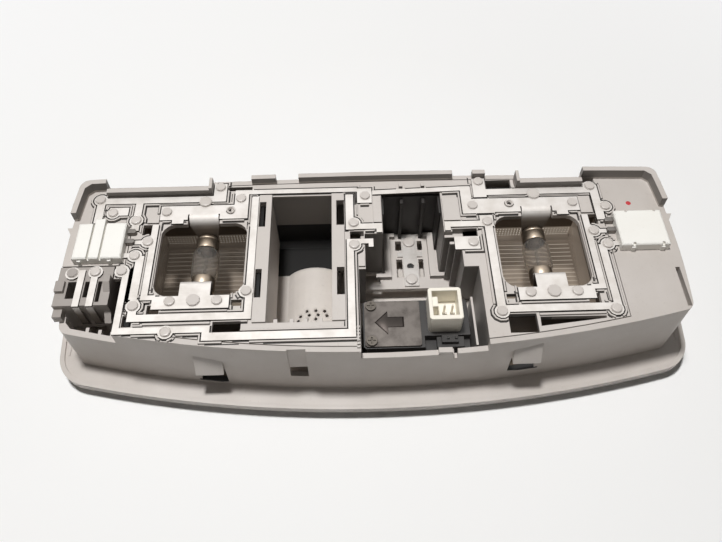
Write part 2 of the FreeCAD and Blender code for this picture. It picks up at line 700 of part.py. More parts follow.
# Each switch has two terminals on its inner side, which stand above the strips
TERMINAL_X0 = 88.9
TERMINAL_W = 1.8
TERMINAL_RISE = 1.2


def make_switch_terminals():
    tabs = []
    for y in (1.3, 5.9):
        half = TERMINAL_W / 2
        tab = box(TERMINAL_X0, SWITCH_X0, y - half, y + half, PLATE_TOP, BUS_TOP + TERMINAL_RISE)
        tip = [edge for edge in tab.Edges if is_upright(edge) and edge.BoundBox.XMax < TERMINAL_X0 + 0.01]
        tabs.append(tab.makeChamfer(0.5, tip))
    return Part.makeCompound(tabs)


right_terminals = make_switch_terminals()
save("right_switch_terminals", right_terminals)
save("left_switch_terminals", mirrored(right_terminals))


# Festoon bulbs: a glass tube, a cap cemented on each end and a coiled filament
def turned(profile, sides):
    # Rings of a radius and a distance along the bulb, joined in turn by flat facets
    rings = []
    for r, along in profile:
        rings.append([V(BULB_X + dx, BULB_Y + along, BULB_Z + dz) for dx, dz in circle_points(r, sides)])
    outlines = [rings[0], rings[-1]]
    for near, far in zip(rings, rings[1:]):
        outlines += [[near[i - 1], near[i], far[i], far[i - 1]] for i in range(sides)]
    faces = [Part.Face(Part.makePolygon(outline + outline[:1])) for outline in outlines]
    solid = Part.Solid(Part.Shell(faces))
    if solid.Volume < 0:
        solid.reverse()
    return solid


CAP_MOUTH = HALF_BULB - CAP_LENGTH
CAP_SEAT = CAP_MOUTH + 3.6
NECK_R = CAP_R - 0.9


def make_glass():
    neck = CAP_MOUTH + 3.0
    outer = [(NECK_R, -neck), (NECK_R, -CAP_MOUTH - 0.2), (GLASS_R, -CAP_MOUTH + 1.6)]
    outer += [(r, -along) for r, along in reversed(outer)]
    bore = [(NECK_R - GLASS_T, -HALF_BULB), (NECK_R - GLASS_T, HALF_BULB)]
    return turned(outer, BULB_SIDES).cut(turned(bore, BULB_SIDES))


def make_caps():
    outer = [
        (CAP_R, CAP_MOUTH),
        (CAP_R, HALF_BULB - 3.8),
        (2.0, HALF_BULB - 2.4),
        (1.0, HALF_BULB),
    ]
    socket = [(CAP_R - 0.6, CAP_MOUTH - 1), (CAP_R - 0.6, CAP_SEAT)]
    far_cap = turned(outer, BULB_SIDES).cut(turned(socket, BULB_SIDES))
    near_cap = far_cap.mirror(V(0, BULB_Y, 0), V(0, 1, 0))
    return Part.makeCompound([far_cap, near_cap])


def make_filament():
    half = [(0.22, CAP_SEAT), (0.22, 4.6), (0.55, 4.3)]
    return turned(half + [(r, -along) for r, along in reversed(half)], STUD_SIDES)


for name, shape in (("glass", make_glass()), ("caps", make_caps()), ("filament", make_filament())):
    save("right_bulb_" + name, shape)
    save("left_bulb_" + name, mirrored(shape))


# Contact leaves: the strip rolls over and hangs down to grip a bulb cap

def leaf(y_root, y_face, direction):
    # A quarter roll from the strip, then a tapered leaf with a hole for the cap's tip
    outer_r = abs(y_face - y_root)
    roll_z = BUS_TOP - outer_r
    axis = V(BULB_X - LEAF_TOP_W / 2, y_root, roll_z)
    roll = Part.makeCylinder(outer_r, LEAF_TOP_W, axis, V(1, 0, 0))
    roll = roll.cut(Part.makeCylinder(outer_r - STRIP_T, LEAF_TOP_W, axis, V(1, 0, 0)))
    y0, y1 = sorted((y_root, y_root + direction * 20))
    roll = roll.common(box(0, OUT_X, y0, y1, roll_z, OUT_TOP))
    corners = [
        V(BULB_X - LEAF_TOP_W / 2, y_face, roll_z),
        V(BULB_X + LEAF_TOP_W / 2, y_face, roll_z),
        V(BULB_X + LEAF_FOOT_W / 2, y_face, LEAF_FOOT),
        V(BULB_X - LEAF_FOOT_W / 2, y_face, LEAF_FOOT),
    ]
    blade = Part.Face(Part.makePolygon(corners + corners[:1])).extrude(V(0, -direction * STRIP_T, 0))
    ring = [V(BULB_X + dx, y_face - 4, BULB_Z + dz) for dx, dz in circle_points(LEAF_HOLE_R, ROUND_SIDES)]
    hole = Part.Face(Part.makePolygon(ring + ring[:1])).extrude(V(0, 8, 0))
    return [roll, blade.cut(hole)]


def upper_contact():
    sheet = box(47.4, 81.0, 11.6, 18.4, PLATE_TOP, BUS_TOP)
    notch = box(LEAF_X0, LEAF_X1, FAR_FACE, FAR_ROOT, 0, OUT_TOP)
    tongue = join([bar(71.8, 76.2, 9.8, 15.0), post(74.0, 15.0, 2.2, PLATE_TOP, BUS_TOP, ROUND_SIDES)])
    return [sheet.cut(notch), tongue] + leaf(FAR_ROOT, FAR_FACE, -1)


def lower_contact():
    sheet = [bar(51.6, 79.0, -28.3, -23.0), bar(78.0, 83.3, -24.4, -22.4), bar(80.9, 83.3, -24.4, 9.4)]
    sheet.append(bar(BULB_X - LEAF_TOP_W / 2, BULB_X + LEAF_TOP_W / 2, -23.5, NEAR_ROOT))
    sheet += [pad(84.0, 1.4), bar(84.0, 88.9, 0.4, 2.2)]
    return sheet + leaf(NEAR_ROOT, NEAR_FACE, 1)


LOWER_STAKES = [(84.0, 1.4), (72.7, -25.2), (55.9, -25.2), (64.3, -25.0)]
right_lower = strip(lower_contact(), LOWER_STAKES)
save("right_lower_contact", right_lower)
save("left_lower_contact", mirrored(right_lower))

TILT_HOLE = post(54.0, 15.6, 1.9, 0, OUT_TOP, ROUND_SIDES)
upper = [shape.cut(TILT_HOLE) for shape in upper_contact()]
UPPER_STAKES = [(78.6, 15.4)]

# The two upper contacts are fed by strips that meet behind the pocket
right_feed = upper + [bar(35.6, 48.0, 11.2, 18.4), bar(35.6, 39.6, 11.2, 25.0)]
right_feed.append(prism([(1.0, 21.9), (37.0, 22.9), (37.0, 25.0), (1.0, 24.0)], PLATE_TOP, BUS_TOP))
save("right_feed_strip", strip(right_feed, UPPER_STAKES + [(39.7, 15.1)]))

left_feed = [mirrored(shape) for shape in upper]
left_feed += [bar(-52.8, -47.4, 11.6, 25.7), bar(-52.8, -5.0, 23.6, 25.7), bar(-5.0, 0.7, 17.8, 25.2)]
left_stakes = [(-x, y) for x, y in UPPER_STAKES] + [(-50.4, 21.4), (-1.9, 21.2)]
save("left_feed_strip", strip(left_feed, left_stakes))

# Strips along the back edge, one at each end
left_back = [pad(-105.3, 22.3), bar(-106.3, -56.3, 20.2, 23.1), bar(-106.3, -103.2, 10.9, 22.0)]
left_back += [bar(-61.3, -56.3, 20.2, 29.2), bar(-91.2, -88.4, 6.8, 21.0), pad(-89.9, 11.7)]
save("left_back_strip", strip(left_back, [(-105.3, 22.3), (-58.8, 27.3), (-89.9, 11.7), (-64.1, 20.0)]))

right_back = [pad(87.0, 23.4), bar(40.7, 88.0, 20.2, 23.2), bar(40.7, 45.8, 19.2, 28.8)]
right_back += [bar(86.6, 89.8, 6.8, 24.0), pad(91.0, 13.2)]
save("right_back_strip", strip(right_back, [(87.0, 23.4), (43.3, 27.2), (91.0, 13.2), (64.1, 20.0)]))

# A short strip at the left corner, beside the switch
short = [pad(-99.4, 15.6), bar(-101.0, -93.6, 14.4, 18.3)]
save("corner_strip", strip(short, [(-99.4, 15.6)]))

# Strips that run round three sides of each lamp to the near switch terminal
left_frame = [bar(-92.2, -87.0, -5.6, -3.6), pad(-88.0, -4.9), bar(-87.4, -84.4, -24.0, -5.0)]
left_frame += [pad(-85.4, -26.8), bar(-86.8, -83.8, -33.1, -24.0), bar(-86.8, -43.4, -33.1, -30.3)]
left_frame += [bar(-46.0, -43.4, -33.1, 22.3), pad(-45.8, -21.6)]
save("left_frame_strip", strip(left_frame, [(-88.0, -4.9), (-85.4, -26.8), (-45.8, -21.6)]))

right_frame = [bar(87.0, 92.2, -5.6, -3.6), pad(88.0, -4.9), bar(84.4, 87.2, -33.0, -5.0), pad(84.8, -32.8)]
right_frame += [bar(44.6, 84.8, -33.1, -30.3), pad(44.6, -32.8), bar(43.2, 46.2, -33.0, 7.0)]
right_frame += [bar(41.7, 46.8, 4.9, 10.2), bar(28.0, 46.8, 5.0, 7.6), bar(28.0, 30.2, 3.4, 7.6)]
right_frame_stakes = [(88.0, -4.9), (84.8, -32.8), (44.6, -32.8), (44.4, 7.0)]
save("right_frame_strip", strip(right_frame, right_frame_stakes))

# The long strip along the front edge, from the plug to the middle of the lamp
front = [pad(-91.7, -11.6), bar(-91.2, -88.9, -38.0, -11.0), bar(-91.2, -70.6, -38.0, -35.5), pad(-72.6, -37.6)]
front += [bar(-72.6, -57.4, -38.0, -35.5), bar(-60.0, -6.8, -41.3, -38.2), bar(-9.4, -6.8, -41.3, 0.4)]
front += [pad(-6.6, -2.3), bar(-9.4, 0.6, -1.8, 0.4), bar(-1.2, 0.6, -3.4, 0.4)]
front += [bar(-60.0, -57.4, -41.3, -35.5)]
save("front_strip", strip(front, [PLUG_STAKE, (-72.6, -37.6), (-6.6, -2.3)]))

# Short strips round the tub
tub_left = [bar(-9.6, -6.6, 4.9, 22.2), pad(-6.6, 8.0), bar(-8.0, 4.2, 5.0, 7.6), bar(2.0, 4.2, 3.3, 7.6)]
save("tub_left_strip", strip(tub_left, [(-6.6, 8.0)]))
tub_right = [bar(31.0, 40.4, -5.6, 0.3), bar(31.6, 33.6, -3.6, 0.3)]
save("tub_right_strip", strip(tub_right, [(38.0, -2.5)]))

# Middle contact: a cross-shaped plate on two large stakes, on the floor of the middle bay
middle = [bar(13.5, 19.4, -4.2, 21.4), bar(11.3, 21.6, 10.3, 12.6)]
hole = post(16.4, 5.4, 1.5, 0, OUT_TOP, ROUND_SIDES)
save("middle_contact", lowered(strip(middle, CONTACT_STAKES).cut(hole)))


# Moulded connector for the vehicle's harness, with two blades over its front edge
HARNESS_X0 = -114.6
HARNESS_X1 = -94.9
HARNESS_Y0 = -25.4
HARNESS_Y1 = -8.9
HARNESS_UNDER = 20.0
CREST_RISE = 1.6
NOSE_OUT = 3.4


def cheek(x0, x1, side):
    # A wall across the connector, drawn as seen from its end
    corners = [V(x0, y, z) for y, z in side]
    return Part.Face(Part.makePolygon(corners + corners[:1])).extrude(V(x1 - x0, 0, 0))


def make_harness_connector():
    body = box(HARNESS_X0, HARNESS_X1, HARNESS_Y0, HARNESS_Y1, HARNESS_UNDER, PLATE_TOP)
    crest = BUS_TOP + CREST_RISE
    nose = HARNESS_Y0 - NOSE_OUT
    # The inner cheek slopes down to a nose, the outer one steps down
    over_rim = PLUG_RIM + FIT
    inner_side = [(-14.0, PLATE_UNDER), (-14.0, crest), (-17.0, crest)]
    inner_side += [(nose, 28.0), (nose, 21.0), (HARNESS_Y0 + 1, 21.0)]
    outer_side = [(-15.5, over_rim), (-15.5, crest - 1), (-20.0, crest - 1), (-20.0, PLATE_UNDER)]
    outer_side += [(nose, PLATE_UNDER), (nose, over_rim)]
    cheeks = [
        cheek(HARNESS_X1 - 2.4, HARNESS_X1, inner_side),
        cheek(HARNESS_X0, HARNESS_X0 + 3.2, outer_side),
        box(HARNESS_X0 - 1.8, HARNESS_X0, -23.0, -13.0, 26.0, 31.5),
    ]
    cells = []
    for x0, x1, y0 in ((-110.6, -107.4, -22.4), (-104.4, -102.7, -22.0), (-99.7, -98.3, -24.0)):
        cells.append(box(x0, x1, y0, -15.3, HARNESS_UNDER + 2, OUT_TOP))
    for x0, x1 in ((-107.8, -104.6), (-103.0, -99.6)):
        cells.append(box(x0, x1, OUT_FRONT, HARNESS_Y0 + 2.0, HARNESS_UNDER + 2, PLATE_TOP - 4))
    solid = join([body.cut(cells)] + cheeks)
    return join([solid] + [stake(x, y, HEAD_R) for x, y in HARNESS_STAKES])


save("harness_connector", make_harness_connector())


def make_harness_blades():
    front = HARNESS_Y0 - STRIP_T
    first = [pad(-109.5, -12.0), bar(-109.5, -104.9, -13.4, -10.6), bar(-107.2, -104.9, front, -10.6)]
    first.append(box(-107.2, -104.9, front, HARNESS_Y0, 24, BUS_TOP))
    second = [pad(-101.2, -11.7), bar(-102.4, -100.0, front, -11.0)]
    second.append(box(-102.4, -100.0, front, HARNESS_Y0, 24, BUS_TOP))
    return Part.makeCompound([strip(first, HARNESS_STAKES[:1]), strip(second, HARNESS_STAKES[1:])])


save("harness_blades", make_harness_blades())


# Black lining of the alcove: a back wall with two upright ribs, and a thin return at each side
TUB_T = 1.2
TUB_SIDE_T = 0.7
TUB_GAP = 0.2
TUB_FRONT = 14.0


def make_tub():
    x0 = TUB_X0 + TUB_GAP
    x1 = TUB_X1 - TUB_GAP
    back = TUB_Y1 - TUB_GAP
    face = back - TUB_T
    outer = box(x0, x1, TUB_FRONT, back, MID_FLOOR, PLATE_UNDER)
    inner = box(x0 + TUB_SIDE_T, x1 - TUB_SIDE_T, TUB_FRONT - 1, face, 0, OUT_TOP)
    ribs = [box(x, x + 1.2, face - 2.4, face + 0.2, MID_FLOOR, PLATE_UNDER - 1) for x in (12.0, 20.6)]
    return join([outer.cut(inner)] + ribs)


save("middle_tub", make_tub())


# Control module: black case, pressed cover, two screws, connector shell with pins, latch
COVER_X1 = 16.2
COVER_T = 0.8
SCREWS = [(-1.3, -26.4), (-1.3, -40.6)]
SCREW_R = 2.0


def make_module_case():
    case = box(MODULE_X0, MODULE_X1, MODULE_Y0, MODULE_Y1, BAY_FLOOR, MODULE_TOP)
    upright = bevel_corners(case, 0.8)
    step = box(COVER_X1 + 1.2, MODULE_X1 + 1, MODULE_Y0 - 1, -38.4, MODULE_TOP - 3.0, OUT_TOP)
    pilots = [post(x, y, 1.0, MODULE_TOP - 6, OUT_TOP, STUD_SIDES) for x, y in SCREWS]
    return upright.cut([step] + pilots)


save("module_case", make_module_case())


def make_cover():
    sheet = box(MODULE_X0 + 0.5, COVER_X1, MODULE_Y0 + 0.4, MODULE_Y1 - 0.6, MODULE_TOP, MODULE_TOP + COVER_T)
    sheet = bevel_corners(sheet, 0.6)
    return sheet.cut([post(x, y, 1.2, 0, OUT_TOP, STUD_SIDES) for x, y in SCREWS])


save("module_cover", make_cover())


def make_screws():
    screws = []
    for x, y in SCREWS:
        top = MODULE_TOP + COVER_T
        shank = post(x, y, 0.9, MODULE_TOP - 5, top + 0.3, STUD_SIDES)
        head = post(x, y, SCREW_R, top, top + 0.9, ROUND_SIDES)
        cross = [box(x - 1.3, x + 1.3, y - 0.25, y + 0.25, top + 0.4, OUT_TOP)]
        cross.append(box(x - 0.25, x + 0.25, y - 1.3, y + 1.3, top + 0.4, OUT_TOP))
        screws.append(shank.fuse(head).cut(cross))
    return Part.makeCompound(screws)


save("module_screws", make_screws())


def make_connector():
    top = MODULE_TOP + CONNECTOR_H
    shell = box(CONNECTOR_X0, CONNECTOR_X1, CONNECTOR_Y0, CONNECTOR_Y1, MODULE_TOP, top)
    shell = bevel_corners(shell, 0.7)
    inner_x = (CONNECTOR_X0 + 1.3, CONNECTOR_X1 - 1.3)
    inner = box(*inner_x, CONNECTOR_Y0 + 1.6, CONNECTOR_Y1 - 1.3, MODULE_TOP + 1.4, OUT_TOP)
    key = box(CONNECTOR_X0 + 1.2, CONNECTOR_X0 + 3.4, -31.0, -27.0, MODULE_TOP + 1, top - 1.5)
    pins = [box(x - 0.45, x + 0.45, y - 0.45, y + 0.45, 0, OUT_TOP) for x, y in PINS]
    return join([shell.cut(inner), key]).cut(pins)


PINS = [(24.6, -33.4), (27.4, -33.4), (24.6, -30.4), (27.4, -30.4)]
save("module_connector", make_connector())
pins = [box(x - 0.35, x + 0.35, y - 0.35, y + 0.35, MODULE_TOP, MODULE_TOP + 7.0) for x, y in PINS]
save("module_pins", Part.makeCompound(pins))


def make_latch():
    base = box(21.6, 31.2, MODULE_Y0 + 0.3, -38.6, MODULE_TOP - 3.0, MODULE_TOP - 0.6)
    arm = box(23.2, 29.0, -41.6, -38.6, MODULE_TOP - 0.6, MODULE_TOP + 1.0)
    nubs = [box(x, x + 0.8, -40.6, -39.8, MODULE_TOP + 1.0, MODULE_TOP + 1.8) for x in (25.0, 27.8)]
    return join([base, arm] + nubs)


save("module_latch", make_latch())
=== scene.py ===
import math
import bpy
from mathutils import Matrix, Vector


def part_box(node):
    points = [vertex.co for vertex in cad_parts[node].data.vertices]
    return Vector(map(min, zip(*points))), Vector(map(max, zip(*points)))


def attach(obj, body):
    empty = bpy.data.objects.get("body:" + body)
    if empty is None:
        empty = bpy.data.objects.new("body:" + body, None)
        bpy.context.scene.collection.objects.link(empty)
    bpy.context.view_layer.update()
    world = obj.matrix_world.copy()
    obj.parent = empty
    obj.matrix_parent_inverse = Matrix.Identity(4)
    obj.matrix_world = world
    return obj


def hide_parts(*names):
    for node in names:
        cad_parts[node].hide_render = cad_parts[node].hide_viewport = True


bl_info = {
    "name": "Roof lamp, seen from its roof side",
    "version": (1, 0, 0),
    "blender": (4, 5, 0),
    "location": "View3D > Sidebar > Roof lamp",
    "description": "Finishes and fine pieces for a car roof lamp that lies face down",
    "category": "Object",
}

import bmesh
import bpy
from bpy.props import FloatProperty, FloatVectorProperty, IntProperty, PointerProperty
from mathutils import Matrix, Vector
from mathutils.bvhtree import BVHTree

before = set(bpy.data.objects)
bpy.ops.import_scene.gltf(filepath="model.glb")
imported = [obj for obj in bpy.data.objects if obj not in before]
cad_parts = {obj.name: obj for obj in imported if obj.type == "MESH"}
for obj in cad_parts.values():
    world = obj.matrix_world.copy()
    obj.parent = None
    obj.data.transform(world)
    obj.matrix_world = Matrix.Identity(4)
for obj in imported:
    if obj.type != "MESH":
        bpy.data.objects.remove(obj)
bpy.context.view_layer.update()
MM = 0.001
BODY = "lamp"
STRIPS = (
    "left_feed_strip",
    "right_feed_strip",
    "left_back_strip",
    "right_back_strip",
    "corner_strip",
    "left_frame_strip",
    "right_frame_strip",
    "front_strip",
    "tub_left_strip",
    "tub_right_strip",
    "left_lower_contact",
    "right_lower_contact",
)

# Levels read from the solids
STRIP_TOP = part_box("front_strip")[1][2]
STRIP_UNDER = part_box("front_strip")[0][2]
CONTACT_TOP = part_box("middle_contact")[1][2]

# Shared lengths and directions
HEAD_H = 0.7 * MM
MIDDLE_Y = 9.0
RIB_STEP = 1.2 * MM
LEVEL_SLACK = 0.05 * MM
MASK_EDGE = 0.2 * MM
SKIN = 0.02 * MM
HEAD_REACH = 3.0 * MM
LENS_REACH = 90.0 * MM
UP = Vector((0, 0, 1))
ACROSS = Vector((1, 0, 0))
ALONG = Vector((0, 1, 0))


def linear(value):
    """A screen value from 0 to 255 as linear light."""
    share = value / 255
    return share / 12.92 if share < 0.04045 else ((share + 0.055) / 1.055) ** 2.4


def tone(red, green, blue):
    """A colour given as it looks on screen, as linear light."""
    return (linear(red), linear(green), linear(blue))


def scaled(rgb, share):
    """A colour with a share of its light."""
    return tuple(min(value * share, 1.0) for value in rgb)


def at(x, y, z):
    """A place in the part's frame, from millimetres off the lamps' middle."""
    return Vector((x * MM, (y + MIDDLE_Y) * MM, z * MM))


# Stage
CAMERA_PLACE = (-0.00719, -0.14775, 0.24743)
CAMERA_TURNS = ((-1.1156, "Z"), (33.985, "X"), (-0.5543, "Z"))
LIGHT_AIM = Vector((0.0, 0.0, 0.02))
FLOOR_SINK = 0.2 * MM

# Places and sizes of small pieces, seen from the lamps' middle
RIDGE_X = 117.4
DAB = at(100.7, 15.0, 35.2)
BOSS_X = 54.0
BOSS_Y = 15.6
TEETH = 7
TOOTH_X = -6.6
TOOTH_Y = -37.6
TOOTH_STEP = 1.3
TOOTH_SIZE = Vector((1.2, 0.75, 0.8)) * MM
FEWEST_HEADS = 30
ARROW = ((0.4, -33.0), (4.6, -28.9), (4.6, -31.1), (9.8, -31.1), (9.8, -34.9), (4.6, -34.9), (4.6, -37.6))
ARROW_MIDDLE = Vector((5.2, -33.1))

# Places painted darker for shade, and the pocket's hump, each between two corners
CATCH_OPENINGS = (
    (at(-65.5, -43.5, 7.4), at(-52.5, -39.0, 8.6)),
    (at(46.0, -44.0, 11.4), at(60.0, -39.0, 12.6)),
)
MIDDLE_BAY = (at(-7.5, -46.0, 8.9), at(62.0, 27.0, 34.8))
POCKET_FAR_WALL = (at(-41.0, 20.5, 8.0), at(-12.0, 24.5, 34.8))
POCKET_WALL_FOOT = (at(-41.0, 21.0, 0.0), at(-12.0, 24.5, 17.0))
POCKET_FLOOR_END = (at(-40.2, 7.0, 1.4), at(-12.7, 24.5, 12.0))
POCKET_HUMP = (at(-38.0, -34.0, 1.5), at(-8.0, 8.0, 12.0))
CONTACT_HOLE = (at(15.0, 5.0, 8.0), at(17.8, 8.0, 8.9))
CHAMBERS = (
    (at(-89.4, -50.0, 2.0), at(-40.8, 40.0, 40.0)),
    (at(40.8, -50.0, 2.0), at(89.4, 40.0, 40.0)),
)
CHAMBER_RIMS = (at(-130.0, -60.0, 32.8), at(130.0, 60.0, 40.0))


def colour(name, description, value):
    """A colour setting."""
    return FloatVectorProperty(
        name=name, description=description, default=value, size=3, min=0.0, max=1.0, subtype="COLOR"
    )


def length(name, description, millimetres):
    """A length setting, given in millimetres."""
    return FloatProperty(name=name, description=description, default=millimetres * MM, min=0.0, unit="LENGTH")


class RoofLampFinishes(bpy.types.PropertyGroup):
    """Colours of the mouldings, metals and glass, and of painted light and shade"""

    shell: colour("Shell", "Grey of the housing", tone(197, 190, 184))
    carrier: colour("Carrier", "Grey of the terminal plate", tone(203, 196, 190))
    plug: colour("Plug", "Grey of the harness connector", tone(160, 153, 147))
    panel: colour("Panel", "Grey of the face panel", tone(212, 205, 198))
    # Painted shade: the tone inside the lamp chambers stands for shade there
    chamber: colour("Chamber", "Tone inside the lamp chambers", tone(104, 92, 80))
    lens: colour("Lens", "Tint of the lens plates", tone(134, 124, 113))
    # Painted light: the lens plates glow in the next two colours
    lens_light: colour("Lens light", "Light that comes through the lens ribs", tone(172, 162, 149))
    lens_shade: colour("Lens shade", "Light that comes through between the ribs", tone(98, 89, 80))
    switch: colour("Switch", "White of the switch blocks", tone(244, 242, 236))
    strip: colour("Strip", "Tinned current strips", tone(196, 192, 188))
    leaf_foot: colour("Leaf foot", "Spring leaves down in the chambers", tone(122, 113, 104))
    # Painted shade: a dark tone on the strips' upright sides
    strip_side_shade: colour("Cut edge", "Dull sheared edges of the strips", tone(74, 68, 62))
    # Painted shade: flat dark bands beside the strips, where grooves would be
    groove: colour("Groove", "Depth of the grooves beside the strips", tone(32, 28, 25))
    peg: colour("Peg", "Switch terminals", tone(120, 116, 112))
    cap: colour("Cap", "Bulb caps", tone(168, 154, 138))
    black: colour("Black", "Module case and tub", tone(24, 21, 19))
    # Painted shade: near-black laid on openings and deep corners
    depth: colour("Depth", "Dark of openings and deep corners", tone(14, 12, 10))
    cover: colour("Cover", "Pressed module cover", tone(94, 89, 85))
    arrow: colour("Arrow", "Darker arrow on the cover", tone(66, 61, 58))
    cream: colour("Cream", "Module connector", tone(246, 241, 228))
    dot: colour("Dot", "Dab of paint on the right end", tone(196, 52, 58))


class RoofLampSizes(bpy.types.PropertyGroup):
    """Sizes of the fine pieces"""

    head_edge: length("Head edge", "Rounding of a melted stake head", 0.35)
    bulb_glass: length("Glass radius", "Radius of the bulb's glass", 5.2)
    bulb_cap: length("Cap radius", "Radius of the bulb's caps", 4.5)
    coil: length("Coil radius", "Radius of the filament's coil", 0.55)
    wire: length("Wire radius", "Radius of the filament's wire", 0.11)
    stud: length("Lens stud", "Width of the small prisms on the lens", 0.66)
    stud_rows: IntProperty(
        name="Stud rows", description="Rows of small prisms on each lens", default=4, min=1, max=8
    )
    rim: length("Lens rim", "Thickness of the lens plate's upturned rim", 0.35)
    rim_far: length("Far rim", "Rise of the rim at the far wall", 5.8)
    rim_foot: length("Rim foot", "Depth of the thick foot of the far rim", 3.8)
    rim_side: length("Side rim", "Rise of the rim at the outer wall", 12.0)
    edge: length("Edge", "Rounding of moulded edges", 0.25)
    rib_gap: length("Rib gap", "Gap between a strip and its guide rib", 0.45)
    rib_width: length("Rib width", "Thickness of a guide rib", 0.6)


class RoofLampStage(bpy.types.PropertyGroup):
    """Camera, floor and light"""

    focal: FloatProperty(
        name="Focal length", description="Camera lens on a 36 mm sensor", default=34.9, min=5.0
    )
    key: FloatProperty(
        name="Key light", description="Power of the light above the lamp", default=9.2, min=0.0, unit="POWER"
    )
    fill: FloatProperty(
        name="Fill light", description="Power of the light in front", default=0.12, min=0.0, unit="POWER"
    )
    sky: FloatProperty(name="Sky", description="Light from all round", default=0.09, min=0.0)
    floor: colour("Floor", "White of the floor", (0.93, 0.925, 0.915))
    bounce: FloatProperty(
        name="Bounce",
        description="Share of the floor's light that reaches the lamp",
        default=0.75,
        min=0.0,
        max=1.0,
    )


# Shared effects


def group_tree(name, inputs, outputs):
    tree = bpy.data.node_groups.new(name, "ShaderNodeTree")
    for label, kind, value in inputs:
        socket = tree.interface.new_socket(name=label, in_out="INPUT", socket_type=kind)
        socket.default_value = value
    for label, kind in outputs:
        tree.interface.new_socket(name=label, in_out="OUTPUT", socket_type=kind)
    return tree, tree.nodes.new("NodeGroupInput"), tree.nodes.new("NodeGroupOutput")


def noise(tree, vector, scale, detail=2.0, rough=0.5):
    node = tree.nodes.new("ShaderNodeTexNoise")
    node.inputs["Scale"].default_value = scale
    node.inputs["Detail"].default_value = detail
    node.inputs["Roughness"].default_value = rough
    tree.links.new(vector, node.inputs["Vector"])
    return node.outputs["Fac"]


def remap(tree, value, low, high, to_low=0.0, to_high=1.0):
    node = tree.nodes.new("ShaderNodeMapRange")
    node.inputs["From Min"].default_value = low
    node.inputs["From Max"].default_value = high
    node.inputs["To Min"].default_value = to_low
    node.inputs["To Max"].default_value = to_high
    tree.links.new(value, node.inputs["Value"])
    return node.outputs["Result"]


def plug(tree, socket, value):
    """Links a socket to another one, or gives it a plain value."""
    if isinstance(value, bpy.types.NodeSocket):
        tree.links.new(value, socket)
    else:
        socket.default_value = value


def mixed(tree, factor, first, second):
    """Two colours mixed by a factor."""
    node = tree.nodes.new("ShaderNodeMix")
    node.data_type = "RGBA"
    for index, value in ((0, factor), (6, first), (7, second)):
        plug(tree, node.inputs[index], value)
    return node.outputs[2]


def maths(tree, operation, first, second):
    node = tree.nodes.new("ShaderNodeMath")
    node.operation = operation
    plug(tree, node.inputs[0], first)
    plug(tree, node.inputs[1], second)
    return node.outputs[0]


def blend_shaders(tree, factor, first, second, output):
    """Blends two shaders by a factor, into an output."""
    mix = tree.nodes.new("ShaderNodeMixShader")
    for socket, value in zip(mix.inputs, (factor, first.outputs[0], second.outputs[0])):
        tree.links.new(value, socket)
    tree.links.new(mix.outputs[0], output.inputs["Surface"])


def object_place(tree, stretch=(1.0, 1.0, 1.0)):
    place = tree.nodes.new("ShaderNodeTexCoord")
    mapping = tree.nodes.new("ShaderNodeMapping")
    mapping.inputs["Scale"].default_value = stretch
    tree.links.new(place.outputs["Object"], mapping.inputs["Vector"])
    return mapping.outputs["Vector"]


def split(tree, vector):
    """The three values of a vector."""
    node = tree.nodes.new("ShaderNodeSeparateXYZ")
    tree.links.new(vector, node.inputs["Vector"])
    return node.outputs


def facing(tree):
    """The way that the surface itself faces, as three values."""
    return split(tree, tree.nodes.new("ShaderNodeNewGeometry").outputs["True Normal"])


def put_gloss(tree, ins, outs, value):
    """Spreads a value between a group's two limits of roughness."""
    gloss = tree.nodes.new("ShaderNodeMapRange")
    tree.links.new(value, gloss.inputs["Value"])
    tree.links.new(ins.outputs["Gloss Low"], gloss.inputs["To Min"])
    tree.links.new(ins.outputs["Gloss High"], gloss.inputs["To Max"])
    tree.links.new(gloss.outputs["Result"], outs.inputs["Roughness"])


def make_moulded_grain():
    """Soft mottling and the fine eroded grain of a moulding."""
    tree, ins, outs = group_tree(
        "moulded_grain",
        [
            ("Colour", "NodeSocketColor", (0.5, 0.5, 0.5, 1)),
            ("Stain", "NodeSocketColor", (0.3, 0.28, 0.25, 1)),
            ("Amount", "NodeSocketFloat", 0.2),
            ("Gloss Low", "NodeSocketFloat", 0.4),
            ("Gloss High", "NodeSocketFloat", 0.6),
        ],
        [("Colour", "NodeSocketColor"), ("Roughness", "NodeSocketFloat"), ("Height", "NodeSocketFloat")],
    )
    place = object_place(tree)
    clouds = remap(tree, noise(tree, place, 42.0, 4.0, 0.6), 0.35, 0.72)
    specks = remap(tree, noise(tree, place, 900.0, 3.0), 0.62, 0.74)
    grain = noise(tree, place, 3400.0, 2.0)
    stain = maths(tree, "MULTIPLY", clouds, ins.outputs["Amount"])
    body = mixed(tree, stain, ins.outputs["Colour"], ins.outputs["Stain"])
    speckled = mixed(tree, maths(tree, "MULTIPLY", specks, 0.16), body, ins.outputs["Stain"])
    tree.links.new(speckled, outs.inputs["Colour"])
    put_gloss(tree, ins, outs, noise(tree, place, 160.0, 3.0))
    tree.links.new(grain, outs.inputs["Height"])
    return tree


